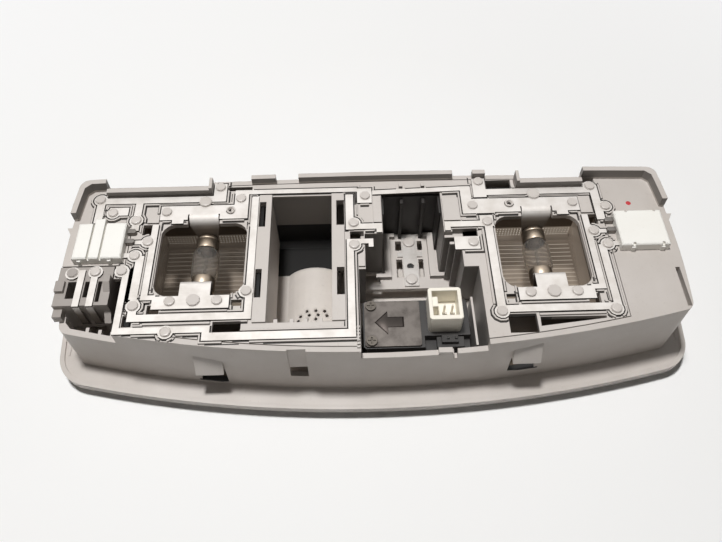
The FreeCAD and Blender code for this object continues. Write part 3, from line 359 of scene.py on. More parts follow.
def make_stamped_sheet():
    """Rolling lines, dull patches and fine scratches of stamped sheet metal."""
    tree, ins, outs = group_tree(
        "stamped_sheet",
        [
            ("Colour", "NodeSocketColor", (0.8, 0.8, 0.8, 1)),
            ("Tarnish", "NodeSocketColor", (0.4, 0.36, 0.32, 1)),
            ("Amount", "NodeSocketFloat", 0.3),
            ("Gloss Low", "NodeSocketFloat", 0.25),
            ("Gloss High", "NodeSocketFloat", 0.45),
        ],
        [("Colour", "NodeSocketColor"), ("Roughness", "NodeSocketFloat"), ("Height", "NodeSocketFloat")],
    )
    place = object_place(tree)
    lines = noise(tree, object_place(tree, (0.06, 1.0, 1.0)), 2600.0, 3.0)
    patches = remap(tree, noise(tree, place, 120.0, 5.0, 0.62), 0.42, 0.75)
    tarnish = maths(tree, "MULTIPLY", patches, ins.outputs["Amount"])
    tree.links.new(mixed(tree, tarnish, ins.outputs["Colour"], ins.outputs["Tarnish"]), outs.inputs["Colour"])
    half_lines = maths(tree, "MULTIPLY", lines, 0.5)
    half_patches = maths(tree, "MULTIPLY", patches, 0.5)
    put_gloss(tree, ins, outs, maths(tree, "ADD", half_lines, half_patches))
    tree.links.new(lines, outs.inputs["Height"])
    return tree


def effect(name, maker):
    return bpy.data.node_groups.get(name) or maker()


def opaque(rgb):
    return (rgb[0], rgb[1], rgb[2], 1.0)


def blank_material(name):
    material = bpy.data.materials.new(name)
    material.use_nodes = True
    tree = material.node_tree
    tree.nodes.clear()
    output = tree.nodes.new("ShaderNodeOutputMaterial")
    shader = tree.nodes.new("ShaderNodeBsdfPrincipled")
    tree.links.new(shader.outputs["BSDF"], output.inputs["Surface"])
    return material, tree, shader


def soften(tree, shader, height, depth, edge):
    """Grain as bump, on normals that turn over the edges."""
    bump = tree.nodes.new("ShaderNodeBump")
    bump.inputs["Strength"].default_value = 0.6
    bump.inputs["Distance"].default_value = depth
    tree.links.new(height, bump.inputs["Height"])
    if edge > 0:
        bevel = tree.nodes.new("ShaderNodeBevel")
        bevel.samples = 4
        bevel.inputs["Radius"].default_value = edge
        tree.links.new(bevel.outputs["Normal"], bump.inputs["Normal"])
    tree.links.new(bump.outputs["Normal"], shader.inputs["Normal"])


def surface(name, group, base, stain, amount, gloss, depth, edge, metal=0.0):
    """A material that runs a shared effect, with its tree, its shader and the effect's node."""
    material, tree, shader = blank_material(name)
    finish = tree.nodes.new("ShaderNodeGroup")
    finish.node_tree = group
    finish.inputs["Colour"].default_value = opaque(base)
    finish.inputs[1].default_value = opaque(stain)
    finish.inputs["Amount"].default_value = amount
    finish.inputs["Gloss Low"].default_value = gloss[0]
    finish.inputs["Gloss High"].default_value = gloss[1]
    tree.links.new(finish.outputs["Colour"], shader.inputs["Base Color"])
    tree.links.new(finish.outputs["Roughness"], shader.inputs["Roughness"])
    shader.inputs["Metallic"].default_value = metal
    soften(tree, shader, finish.outputs["Height"], depth, edge)
    return material, tree, shader, finish


def upright(tree):
    """A mask that is one on upright faces."""
    return remap(tree, maths(tree, "ABSOLUTE", facing(tree)["Z"], 0.0), 0.5, 0.8, 1.0, 0.0)


def painted_wall_shade(tree, base, wall_shade_tone, above):
    """Paints shade on upright faces above a height, as a tone of their own."""
    height = split(tree, object_place(tree))["Z"]
    walls = maths(tree, "MULTIPLY", upright(tree), remap(tree, height, above, above + 0.1 * MM))
    return mixed(tree, walls, base, opaque(wall_shade_tone))


def inside(tree, low, high):
    """A mask that is one between two corners of the lamp's own frame."""
    place = split(tree, object_place(tree))
    mask = None
    for axis, start, end in zip("XYZ", low, high):
        for limit, before, after in ((start, 0.0, 1.0), (end, 1.0, 0.0)):
            step = remap(tree, place[axis], limit - MASK_EDGE, limit + MASK_EDGE, before, after)
            mask = step if mask is None else maths(tree, "MULTIPLY", mask, step)
    return mask


def moulding(name, base, stain, amount=0.22, gloss=(0.38, 0.58), depth=0.03 * MM, edge=None):
    """A moulded finish with its nodes."""
    edge = bpy.context.scene.roof_lamp_sizes.edge if edge is None else edge
    group = effect("moulded_grain", make_moulded_grain)
    return surface(name, group, base, stain, amount, gloss, depth, edge)


def moulded(*settings, **more):
    """The material alone of a moulded finish."""
    return moulding(*settings, **more)[0]


def stamping(name, base, tarnish, amount=0.3, gloss=(0.28, 0.46), depth=0.01 * MM, edge=0.12 * MM):
    """A stamped finish with its nodes."""
    group = effect("stamped_sheet", make_stamped_sheet)
    return surface(name, group, base, tarnish, amount, gloss, depth, edge, metal=1.0)


def stamped(*settings, **more):
    """The material alone of a stamped finish."""
    return stamping(*settings, **more)[0]


def lens_glow_fade(tree, base):
    """Dims a painted glow from the right lens to the left one."""
    across = split(tree, object_place(tree))["X"]
    dim = remap(tree, across, -LENS_REACH, LENS_REACH, 0.72, 0.0)
    return mixed(tree, dim, base, (0.0, 0.0, 0.0, 1.0))


def seen_rays(tree):
    """A mask that is one for what the eye, a reflection or glass sees."""
    path = tree.nodes.new("ShaderNodeLightPath")
    rays = maths(tree, "MAXIMUM", path.outputs["Is Camera Ray"], path.outputs["Is Glossy Ray"])
    return maths(tree, "MAXIMUM", rays, path.outputs["Is Transmission Ray"])


def dress(material, *nodes):
    """Gives CAD nodes their finish."""
    for name in nodes:
        mesh_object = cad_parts[name]
        if not mesh_object.material_slots:
            mesh_object.data.materials.append(material)
        for slot in mesh_object.material_slots:
            slot.material = material


# Mesh helpers


def piece(name, mesh, materials, smooth=True):
    """A finished piece from a bmesh, at the origin, riding on the lamp."""
    bmesh.ops.recalc_face_normals(mesh, faces=mesh.faces)
    data = bpy.data.meshes.new(name)
    mesh.to_mesh(data)
    mesh.free()
    for material in materials:
        data.materials.append(material)
    made = bpy.data.objects.new(name, data)
    bpy.context.scene.collection.objects.link(made)
    if smooth:
        data.shade_smooth()
        data.set_sharp_from_angle(angle=math.radians(38))
    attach(made, BODY)
    return made


def merge(mesh):
    """Joins vertices that lie on one another."""
    bmesh.ops.remove_doubles(mesh, verts=mesh.verts, dist=1e-6)


def spun(mesh, profile, centre, axis, steps):
    """Turns a profile of radius and distance about an axis through a place."""
    verts = [mesh.verts.new(centre + ACROSS * radius + axis * along) for radius, along in profile]
    edges = [mesh.edges.new(pair) for pair in zip(verts, verts[1:])]
    bmesh.ops.spin(
        mesh, geom=verts + edges, cent=centre, axis=axis, angle=2 * math.pi, steps=steps, use_merge=True
    )


def edges_of(verts):
    """The edges at some vertices, each once and always in the same order."""
    return list(dict.fromkeys(edge for vert in verts for edge in vert.link_edges))


def rounded(mesh, edges, offset):
    """Rounds edges of a mesh."""
    bmesh.ops.bevel(
        mesh,
        geom=edges,
        offset=offset,
        segments=2,
        profile=0.5,
        affect="EDGES",
        material=-1,
        clamp_overlap=True,
    )


def slab(mesh, low, high, bevel):
    """A block with rounded edges."""
    made = bmesh.ops.create_cube(mesh, size=1.0)
    bmesh.ops.scale(mesh, vec=high - low, verts=made["verts"])
    bmesh.ops.translate(mesh, vec=(low + high) / 2, verts=made["verts"])
    rounded(mesh, edges_of(made["verts"]), bevel)


def raised_shape(mesh, corners, height, bevel):
    """A flat outline lifted into a thin plate with a softened rim."""
    face = mesh.faces.new([mesh.verts.new(corner) for corner in corners])
    lifted = bmesh.ops.extrude_face_region(mesh, geom=[face])
    tops = [item for item in lifted["geom"] if isinstance(item, bmesh.types.BMVert)]
    bmesh.ops.translate(mesh, vec=UP * height, verts=tops)
    rim = [edge for edge in edges_of(tops) if all(end in tops for end in edge.verts)]
    rounded(mesh, rim, bevel)


def head_places(name, level):
    """Middle and radius of a node's melted stake heads, found as small flat islands above a level."""
    places = []
    mesh = bmesh.new()
    mesh.from_mesh(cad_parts[name].data)
    merge(mesh)
    elsewhere = [vert for vert in mesh.verts if abs(vert.co.z - level - HEAD_H) > LEVEL_SLACK]
    bmesh.ops.delete(mesh, geom=elsewhere, context="VERTS")
    waiting = dict.fromkeys(mesh.verts)
    while waiting:
        island = [waiting.popitem()[0]]
        for vert in island:
            for edge in vert.link_edges:
                other = edge.other_vert(vert)
                if other in waiting:
                    del waiting[other]
                    island.append(other)
        middle = sum((vert.co for vert in island), Vector()) / len(island)
        reach = max((vert.co - middle).length for vert in island)
        if reach < HEAD_REACH:
            places.append((middle - UP * HEAD_H, reach))
    mesh.free()
    return sorted(places, key=lambda place: (round(place[0].x, 5), round(place[0].y, 5)))


def solid_tree(names):
    """A search tree over the meshes of some CAD nodes."""
    places = []
    corners = []
    for name in names:
        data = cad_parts[name].data
        start = len(places)
        places += [vert.co.copy() for vert in data.vertices]
        corners += [[start + index for index in face.vertices] for face in data.polygons]
    return BVHTree.FromPolygons(places, corners)


def outline_bands(name, widths):
    """Flat bands of faces that run round a strip's outline, one outside the other."""
    band = bmesh.new()
    band.from_mesh(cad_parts[name].data)
    merge(band)
    band.normal_update()
    hidden = [
        face
        for face in band.faces
        if face.normal.z < 0.99 or abs(face.calc_center_median().z - STRIP_TOP) > LEVEL_SLACK
    ]
    bmesh.ops.delete(band, geom=hidden, context="FACES")
    for edge in [edge for edge in band.edges if edge.is_boundary]:
        cuts = int(edge.calc_length() / RIB_STEP)
        if cuts > 0:
            bmesh.ops.subdivide_edges(band, edges=[edge], cuts=cuts)
    bands = []
    for width in widths:
        # A negative inset grows the faces and leaves a band of new ones round them
        grown = bmesh.ops.inset_region(
            band, faces=band.faces[:], use_boundary=True, use_even_offset=True, thickness=-width
        )
        bands.append([[vert.co.copy() for vert in face.verts] for face in grown["faces"]])
        bmesh.ops.delete(band, geom=grown["faces"], context="FACES")
    band.free()
    return bands


def lies_bare(plate, others, corners):
    """Whether the plate itself is what lies under the middle and the corners of a face."""
    middle = sum(corners, Vector()) / len(corners)
    for place in [middle] + [corner.lerp(middle, 0.1) for corner in corners]:
        above = place + UP * (20.0 * MM)
        bare = plate.ray_cast(above, -UP)[0]
        other = others.ray_cast(above, -UP)[0]
        if bare is None or abs(bare.z - STRIP_UNDER) > LEVEL_SLACK:
            return False
        if other is not None and other.z > bare.z:
            return False
    return True


def add_faces(mesh, faces, low, high):
    """Adds faces at a height, with their sides down to a lower one, joined where they meet."""
    for corners in faces:
        mesh.faces.new([mesh.verts.new((place.x, place.y, high)) for place in corners])
    merge(mesh)
    lifted = bmesh.ops.extrude_face_region(mesh, geom=mesh.faces[:], use_keep_orig=True)
    feet = [item for item in lifted["geom"] if isinstance(item, bmesh.types.BMVert)]
    bmesh.ops.translate(mesh, vec=UP * (low - high), verts=feet)


class ROOFLAMP_OT_housing(bpy.types.Operator):
    """Finish the housing, with painted shade on its walls and catch openings, and add its fine ridges and its
    dab of paint
    """

    bl_idname = "rooflamp.housing"
    bl_label = "Housing"

    def execute(self, context):
        finishes = context.scene.roof_lamp_finishes
        shell, tree, shader, finish = moulding("shell_grey", finishes.shell, tone(150, 139, 126), 0.24)
        # Painted shade: upright faces above the strips are painted darker
        shaded = painted_wall_shade(tree, finish.outputs["Colour"], scaled(finishes.shell, 0.38), STRIP_TOP)
        # Painted shade: the openings under the two front catches are painted near-black
        for corners in CATCH_OPENINGS:
            shaded = mixed(tree, inside(tree, *corners), shaded, opaque(finishes.depth))
        tree.links.new(shaded, shader.inputs["Base Color"])
        dress(shell, "housing")
        # Short ridges on the flange near its ends
        mesh = bmesh.new()
        for sign in (-1, 1):
            low = at(sign * RIDGE_X - 0.25, -30.0, 5.9)
            high = at(sign * RIDGE_X + 0.25, -20.0, 6.35)
            slab(mesh, low, high, 0.15 * MM)
        piece("flange_ridges", mesh, [shell])
        # A dab of red paint on the right end
        mesh = bmesh.new()
        profile = [(0.0, 0.08 * MM), (0.7 * MM, 0.07 * MM), (1.0 * MM, 0.0)]
        spun(mesh, profile, DAB, UP, 20)
        merge(mesh)
        dull_red = tone(120, 30, 36)
        paint = moulded("paint_red", finishes.dot, dull_red, 0.4, (0.3, 0.45), depth=0.02 * MM, edge=0.0)
        piece("paint_dab", mesh, [paint])
        return {"FINISHED"}


class ROOFLAMP_OT_terminal_plate(bpy.types.Operator):
    """Finish the terminal plate with painted shade and add stake heads, bosses, teeth, guide ribs and bands
    of painted groove shade
    """

    bl_idname = "rooflamp.terminal_plate"
    bl_label = "Terminal plate"

    def execute(self, context):
        finishes = context.scene.roof_lamp_finishes
        sizes = context.scene.roof_lamp_sizes
        stain = tone(156, 145, 132)
        carrier, tree, shader, finish = moulding("carrier_grey", finishes.carrier, stain, 0.2)
        # Painted shade: upright faces above the plate are painted darker
        coloured = painted_wall_shade(tree, finish.outputs["Colour"], scaled(finishes.carrier, 0.5), STRIP_UNDER)
        # Painted shade: walls down in the middle bay and at the pocket's far end are painted darker
        for corners, share in ((MIDDLE_BAY, 0.42), (POCKET_FAR_WALL, 0.4)):
            deep = maths(tree, "MULTIPLY", inside(tree, *corners), upright(tree))
            coloured = mixed(tree, deep, coloured, opaque(scaled(finishes.carrier, share)))
        # Painted shade: the foot of the pocket's far wall and the hole in the middle contact are painted
        # near-black
        for corners in (POCKET_WALL_FOOT, CONTACT_HOLE):
            coloured = mixed(tree, inside(tree, *corners), coloured, opaque(finishes.depth))
        tree.links.new(coloured, shader.inputs["Base Color"])
        dress(carrier, "terminal_plate")
        dress(moulded("plug_grey", finishes.plug, tone(120, 112, 104), 0.25), "harness_connector")
        paler = scaled(finishes.carrier, 1.06)
        melted = moulded("stake_grey", paler, tone(160, 150, 138), 0.3, (0.25, 0.45))
        mesh = bmesh.new()
        places = head_places("terminal_plate", CONTACT_TOP)
        for name in ("terminal_plate", "housing", "harness_connector"):
            places += head_places(name, STRIP_TOP)
        if len(places) < FEWEST_HEADS:
            raise RuntimeError("stake heads not found on the solids")
        edge = sizes.head_edge
        for number, (foot, reach) in enumerate(places):
            # Wide enough to cover the plain head, and no two neighbours alike in height
            reach += 0.06 * MM
            rise = (0.74 + 0.1 * math.sin(number * 2.4)) * MM
            profile = [
                (0.0, rise),
                (reach * 0.6, rise),
                (reach - edge, rise - 0.04 * MM),
                (reach - edge * 0.3, rise - 0.16 * MM),
                (reach, rise - edge),
                (reach, 0.02 * MM),
            ]
            spun(mesh, profile, foot, UP, 20)
        merge(mesh)
        piece("stake_heads", mesh, [melted])
        # Open bosses that stand in a hole of each feed strip
        mesh = bmesh.new()
        profile = [(1.0, 0.0), (1.0, 1.3), (1.15, 1.5), (1.5, 1.5), (1.7, 1.3), (1.7, 0.0)]
        ring = [(radius * MM, rise * MM) for radius, rise in profile]
        for sign in (-1, 1):
            spun(mesh, ring, at(sign * BOSS_X, BOSS_Y, STRIP_UNDER / MM), UP, 24)
        piece("open_bosses", mesh, [melted])
        # A toothed edge beside the module
        mesh = bmesh.new()
        for number in range(TEETH):
            low = at(TOOTH_X, TOOTH_Y - TOOTH_STEP * number, STRIP_UNDER / MM - 0.1)
            slab(mesh, low, low + TOOTH_SIZE, 0.15 * MM)
        piece("toothed_edge", mesh, [carrier])
        # Thin ribs keep the strips in place, between flat bands of painted shade where grooves would be,
        # wherever the plate lies bare beside them
        plate = solid_tree(("terminal_plate", "housing"))
        others = solid_tree([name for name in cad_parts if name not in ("terminal_plate", "housing")])
        ribs = []
        groove_shade_bands = []
        for name in STRIPS:
            bands = outline_bands(name, (sizes.rib_gap, sizes.rib_width, sizes.rib_gap))
            for target, band in zip((groove_shade_bands, ribs, groove_shade_bands), bands):
                target.extend(corners for corners in band if lies_bare(plate, others, corners))
        mesh = bmesh.new()
        add_faces(mesh, groove_shade_bands, STRIP_UNDER - SKIN, STRIP_UNDER + SKIN)
        # Painted shade: the bands lie almost flat on the plate, in a near-black tone
        dark = moulded("groove_dark", finishes.groove, tone(36, 32, 28), 0.3, (0.6, 0.8), edge=0.0)
        piece("strip_groove_shade", mesh, [dark], smooth=False)
        mesh = bmesh.new()
        add_faces(mesh, ribs, STRIP_UNDER - SKIN, STRIP_TOP)
        piece("guide_ribs", mesh, [carrier], smooth=False)
        return {"FINISHED"}


class ROOFLAMP_OT_face_panel(bpy.types.Operator):
    """Finish the face panel, with painted shade inside its lamp chambers, and the push buttons"""

    bl_idname = "rooflamp.face_panel"
    bl_label = "Face panel"

    def execute(self, context):
        finishes = context.scene.roof_lamp_finishes
        edge = context.scene.roof_lamp_sizes.edge
        stain = tone(140, 130, 118)
        panel, tree, shader, finish = moulding("panel_grey", finishes.panel, stain, 0.24, (0.4, 0.6))
        # Painted shade: the chambers' walls and their depth are painted darker, the face below is not
        coloured = finish.outputs["Colour"]
        roof_side = remap(tree, facing(tree)["Z"], -0.3, -0.2)
        for corners in CHAMBERS:
            chamber = maths(tree, "MULTIPLY", inside(tree, *corners), roof_side)
            coloured = mixed(tree, chamber, coloured, opaque(finishes.chamber))
        # Painted shade: under the terminal plate the chambers' upper edges are painted near-black, and so is
        # the pocket past its hump
        for corners in (CHAMBER_RIMS, POCKET_FLOOR_END):
            coloured = mixed(tree, inside(tree, *corners), coloured, opaque(finishes.depth))
        # The hump's narrow flats shade as one round
        bevel = next(node for node in tree.nodes if node.type == "BEVEL")
        rounding = remap(tree, inside(tree, *POCKET_HUMP), 0.0, 1.0, edge, 2.2 * MM)
        tree.links.new(rounding, bevel.inputs["Radius"])
        tree.links.new(coloured, shader.inputs["Base Color"])
        shader.inputs["Specular IOR Level"].default_value = 0.25
        dress(panel, "face_panel")
        button = moulded("button_grey", finishes.panel, tone(120, 112, 102), 0.3, (0.3, 0.5))
        dress(button, "left_button", "right_button")
        return {"FINISHED"}


class ROOFLAMP_OT_lenses(bpy.types.Operator):
    """Finish the lens plates with a painted glow and add their rims and rows of small prisms"""

    bl_idname = "rooflamp.lenses"
    bl_label = "Lenses"

    def execute(self, context):
        finishes = context.scene.roof_lamp_finishes
        sizes = context.scene.roof_lamp_sizes
        lens, tree, shader, finish = moulding(
            "lens_smoke", finishes.lens, tone(120, 104, 88), 0.3, (0.16, 0.3), depth=0.01 * MM, edge=0.0
        )
        shader.inputs["Transmission Weight"].default_value = 0.12
        shader.inputs["IOR"].default_value = 1.58
        # Painted light: the lens glows as if light from the table came up through one flank of each rib, more
        # of it towards the right end
        back = split(tree, object_place(tree))["Y"]
        clear = remap(tree, back, 4.0 * MM, 22.0 * MM, 0.25, 1.0)
        lit = maths(tree, "MULTIPLY", remap(tree, facing(tree)["Y"], 0.0, 0.5), clear)
        through = mixed(tree, lit, opaque(finishes.lens_shade), opaque(finishes.lens_light))
        tree.links.new(lens_glow_fade(tree, through), shader.inputs["Emission Color"])
        shader.inputs["Emission Strength"].default_value = 0.8
        dress(lens, "left_lens", "right_lens")
        pale = tone(244, 238, 226)
        prism, tree, shader, finish = moulding(
            "prism_clear", pale, tone(200, 188, 172), 0.3, (0.08, 0.16), depth=0.01 * MM, edge=0.0
        )
        shader.inputs["Transmission Weight"].default_value = 0.1
        # Painted light: the prisms glow in their pale colour, dimmed from right to left like the lens
        tree.links.new(lens_glow_fade(tree, finish.outputs["Colour"]), shader.inputs["Emission Color"])
        shader.inputs["Emission Strength"].default_value = 0.42
        gap = 0.22 * MM
        inset = 0.4 * MM
        margin = 1.2 * MM
        pitch = sizes.stud * 1.85
        row_step = 1.35 * MM
        to_front = Matrix.Rotation(math.radians(90), 4, "X")
        for side, outer in (("left", 0), ("right", 1)):
            low, high = (Vector(corner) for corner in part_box(side + "_lens"))
            wall = high.y - gap
            foot = high.z - 0.5 * MM
            rim_top = high.z + sizes.rim_far
            # The plate turns up along the chamber's far wall and its outer wall
            mesh = bmesh.new()
            first = Vector((low.x + inset, wall - sizes.rim, foot))
            slab(mesh, first, Vector((high.x - inset, wall, rim_top)), 0.1 * MM)
            first.y = wall - sizes.rim_foot
            slab(mesh, first, Vector((high.x - inset, wall, high.z + 1.2 * MM)), 0.6 * MM)
            edge = (low.x + gap, high.x - gap - sizes.rim)[outer]
            first = Vector((edge, low.y + inset, foot))
            slab(mesh, first, Vector((edge + sizes.rim, wall - sizes.rim, high.z + sizes.rim_side)), 0.1 * MM)
            piece(side + "_lens_rim", mesh, [lens])
            # Rows of small prisms on the far rim
            mesh = bmesh.new()
            count = int((high.x - low.x - 2 * margin) / pitch) + 1
            for row in range(sizes.stud_rows):
                for number in range(count):
                    place = (
                        low.x + margin + number * pitch,
                        wall - sizes.rim - 0.1 * MM,
                        rim_top - 0.6 * MM - row_step * row,
                    )
                    bmesh.ops.create_cone(
                        mesh,
                        cap_ends=True,
                        segments=6,
                        radius1=sizes.stud / 2,
                        radius2=sizes.stud / 5,
                        depth=0.4 * MM,
                        matrix=Matrix.Translation(place) @ to_front,
                    )
            piece(side + "_lens_prisms", mesh, [prism], smooth=False)
        return {"FINISHED"}


class ROOFLAMP_OT_strips(bpy.types.Operator):
    """Finish the current strips, their contacts and the harness blades, with painted shade on their sides"""

    bl_idname = "rooflamp.strips"
    bl_label = "Strips"

    def execute(self, context):
        finishes = context.scene.roof_lamp_finishes
        tarnish = tone(164, 156, 146)
        tin, tree, shader, finish = stamping(
            "strip_tin", finishes.strip, tarnish, 0.35, (0.66, 0.82), edge=0.08 * MM
        )
        # Painted shade: the strips' upright sides are painted dark
        coloured = painted_wall_shade(tree, finish.outputs["Colour"], finishes.strip_side_shade, STRIP_UNDER - 0.1 * MM)
        # The spring leaves turn darker towards their feet
        height = split(tree, object_place(tree))["Z"]
        below = remap(tree, height, STRIP_UNDER - 5.0 * MM, STRIP_UNDER, 1.0, 0.0)
        over_floor = remap(tree, height, CONTACT_TOP, CONTACT_TOP + 5.0 * MM)
        foot = maths(tree, "MULTIPLY", below, over_floor)
        coloured = mixed(tree, foot, coloured, opaque(finishes.leaf_foot))
        tree.links.new(coloured, shader.inputs["Base Color"])
        dress(tin, "middle_contact", "harness_blades", *STRIPS)
        return {"FINISHED"}


class ROOFLAMP_OT_switches(bpy.types.Operator):
    """Finish the switch blocks and their terminals"""

    bl_idname = "rooflamp.switches"
    bl_label = "Switches"

    def execute(self, context):
        finishes = context.scene.roof_lamp_finishes
        yellowed = tone(206, 198, 184)
        white = moulded(
            "switch_white", finishes.switch, yellowed, 0.18, (0.32, 0.48), depth=0.02 * MM, edge=0.5 * MM
        )
        dress(white, "left_switch_case", "right_switch_case")
        peg = stamped("peg_metal", finishes.peg, tone(70, 64, 58), 0.4, (0.35, 0.55), edge=0.3 * MM)
        dress(peg, "left_switch_terminals", "right_switch_terminals")
        return {"FINISHED"}


class ROOFLAMP_OT_bulbs(bpy.types.Operator):
    """Blow the bulbs' glass, turn their caps and wind their filaments"""

    bl_idname = "rooflamp.bulbs"
    bl_label = "Bulbs"

    def execute(self, context):
        finishes = context.scene.roof_lamp_finishes
        sizes = context.scene.roof_lamp_sizes
        glass, tree, shader = blank_material("bulb_glass")
        shader.inputs["Base Color"].default_value = (0.86, 0.82, 0.77, 1.0)
        shader.inputs["Transmission Weight"].default_value = 0.94
        shader.inputs["IOR"].default_value = 1.12
        smears = remap(tree, noise(tree, object_place(tree), 240.0, 4.0), 0.35, 0.75, 0.06, 0.15)
        tree.links.new(smears, shader.inputs["Roughness"])
        dark_stem = moulded("stem_dark", tone(70, 56, 46), tone(40, 32, 26), 0.5, (0.2, 0.4), edge=0.0)
        nickel = stamped("cap_nickel", finishes.cap, tone(96, 82, 66), 0.55, (0.36, 0.54), edge=0.0)
        bright = tone(150, 146, 140)
        wire = stamped(
            "filament_wire", bright, tone(80, 76, 72), 0.3, (0.3, 0.5), depth=0.005 * MM, edge=0.0
        )
        neck = sizes.bulb_cap - 0.9 * MM
        wall = 0.55 * MM
        turns = 11
        steps = 12
        reach = 4.2 * MM
        for hand in ("left", "right"):
            low, high = (Vector(corner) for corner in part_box(hand + "_bulb_caps"))
            centre = (low + high) / 2
            half = (high.y - low.y) / 2
            mouth = half - 8.9 * MM
            outer = [
                (neck, -mouth - 2.8 * MM),
                (neck, -mouth - 0.2 * MM),
                (neck + 0.9 * MM, -mouth + 0.35 * MM),
                (sizes.bulb_glass - 0.25 * MM, -mouth + 1.3 * MM),
                (sizes.bulb_glass, -mouth + 2.6 * MM),
            ]
            outer += [(radius, -along) for radius, along in reversed(outer)]
            inner = [(radius - wall, along) for radius, along in reversed(outer)]
            mesh = bmesh.new()
            spun(mesh, outer + inner + outer[:1], centre, ALONG, 48)
            merge(mesh)
            bulb = piece(hand + "_glass_tube", mesh, [glass])
            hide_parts(hand + "_bulb_glass")
            # Caps: crimped mouth, rounded shoulder and a pointed tip
            mesh = bmesh.new()
            for way in (-1, 1):
                profile = [
                    (neck + 0.05 * MM, mouth + 3.0 * MM),
                    (sizes.bulb_cap - 0.55 * MM, mouth + 0.1 * MM),
                    (sizes.bulb_cap - 0.1 * MM, mouth),
                    (sizes.bulb_cap, mouth + 0.4 * MM),
                    (sizes.bulb_cap, half - 5.2 * MM),
                    (sizes.bulb_cap - 0.14 * MM, half - 5.0 * MM),
                    (sizes.bulb_cap - 0.14 * MM, half - 4.6 * MM),
                    (sizes.bulb_cap, half - 4.4 * MM),
                    (sizes.bulb_cap - 0.05 * MM, half - 3.9 * MM),
                    (sizes.bulb_cap - 0.7 * MM, half - 3.1 * MM),
                    (2.1 * MM, half - 2.4 * MM),
                    (1.5 * MM, half - 1.2 * MM),
                    (0.9 * MM, half - 0.25 * MM),
                    (0.0, half),
                ]
                spun(mesh, [(radius, way * along) for radius, along in profile], centre, ALONG, 40)
            merge(mesh)
            caps = piece(hand + "_caps_turned", mesh, [nickel])
            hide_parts(hand + "_bulb_caps")
            # Stems: dark glass inside the mouths of the caps
            mesh = bmesh.new()
            for way in (-1, 1):
                profile = [(0.0, -2.4), (1.4, -2.2), (2.4, -1.2), (2.6, 1.5), (0.0, 1.6)]
                stem = [(radius * MM, way * (mouth + rise * MM)) for radius, rise in profile]
                spun(mesh, stem, centre, ALONG, 24)
            merge(mesh)
            piece(hand + "_stems", mesh, [dark_stem])
            # Filament: a wound coil between two straight leads
            mesh = bmesh.new()
            ring = bmesh.ops.create_circle(
                mesh,
                segments=6,
                radius=sizes.wire,
                matrix=Matrix.Translation(centre + ACROSS * sizes.coil - ALONG * reach),
            )
            bmesh.ops.spin(
                mesh,
                geom=ring["verts"] + edges_of(ring["verts"]),
                cent=centre,
                axis=ALONG,
                dvec=ALONG * (2 * reach / (turns * steps)),
                angle=2 * math.pi * turns,
                steps=turns * steps,
            )
            for way in (-1, 1):
                lead = [
                    (sizes.wire, way * (mouth + 3.2 * MM)),
                    (sizes.wire, way * (reach - 0.1 * MM)),
                    (0.0, way * (reach - 0.15 * MM)),
                ]
                spun(mesh, lead, centre + ACROSS * (sizes.coil * way), ALONG, 8)
            coil = piece(hand + "_coil", mesh, [wire])
            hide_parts(hand + "_bulb_filament")
        return {"FINISHED"}


class ROOFLAMP_OT_tub(bpy.types.Operator):
    """Finish the black tub"""

    bl_idname = "rooflamp.tub"
    bl_label = "Tub"

    def execute(self, context):
        finishes = context.scene.roof_lamp_finishes
        dress(moulded("tub_black", finishes.black, tone(64, 58, 53), 0.3, (0.42, 0.6)), "middle_tub")
        return {"FINISHED"}


class ROOFLAMP_OT_module(bpy.types.Operator):
    """Finish the control module and put the arrow on its cover"""

    bl_idname = "rooflamp.module"
    bl_label = "Control module"

    def execute(self, context):
        finishes = context.scene.roof_lamp_finishes
        black = moulded("module_black", finishes.black, tone(58, 53, 49), 0.3, (0.3, 0.5))
        dress(black, "module_case", "module_latch")
        cover = stamped("cover_steel", finishes.cover, tone(44, 40, 38), 0.85, (0.38, 0.62))
        dress(cover, "module_cover")
        zinc = stamped("screw_zinc", tone(92, 87, 81), tone(46, 42, 39), 0.5, (0.3, 0.5), edge=0.2 * MM)
        dress(zinc, "module_screws")
        aged = tone(202, 182, 150)
        cream = moulded("connector_cream", finishes.cream, aged, 0.3, (0.35, 0.5), edge=0.4 * MM)
        dress(cream, "module_connector")
        dress(stamped("pin_tin", tone(196, 190, 180), tone(120, 112, 100), 0.3), "module_pins")
        # A plain arrow on the cover, with a darker rim
        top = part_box("module_cover")[1][2] / MM
        mark = stamped("arrow_dark", finishes.arrow, tone(50, 46, 44), 0.5, (0.35, 0.5), edge=0.0)
        rim = stamped("arrow_rim", tone(40, 36, 34), tone(24, 22, 20), 0.4, (0.4, 0.6), edge=0.0)
        for name, grow, height, finish in (("arrow_rim", 1.12, 0.05, rim), ("cover_arrow", 1.0, 0.12, mark)):
            grown = [ARROW_MIDDLE + (Vector(corner) - ARROW_MIDDLE) * grow for corner in ARROW]
            mesh = bmesh.new()
            raised_shape(mesh, [at(x, y, top - 0.03) for x, y in grown], height * MM, height * 0.4 * MM)
            piece(name, mesh, [finish])
        return {"FINISHED"}


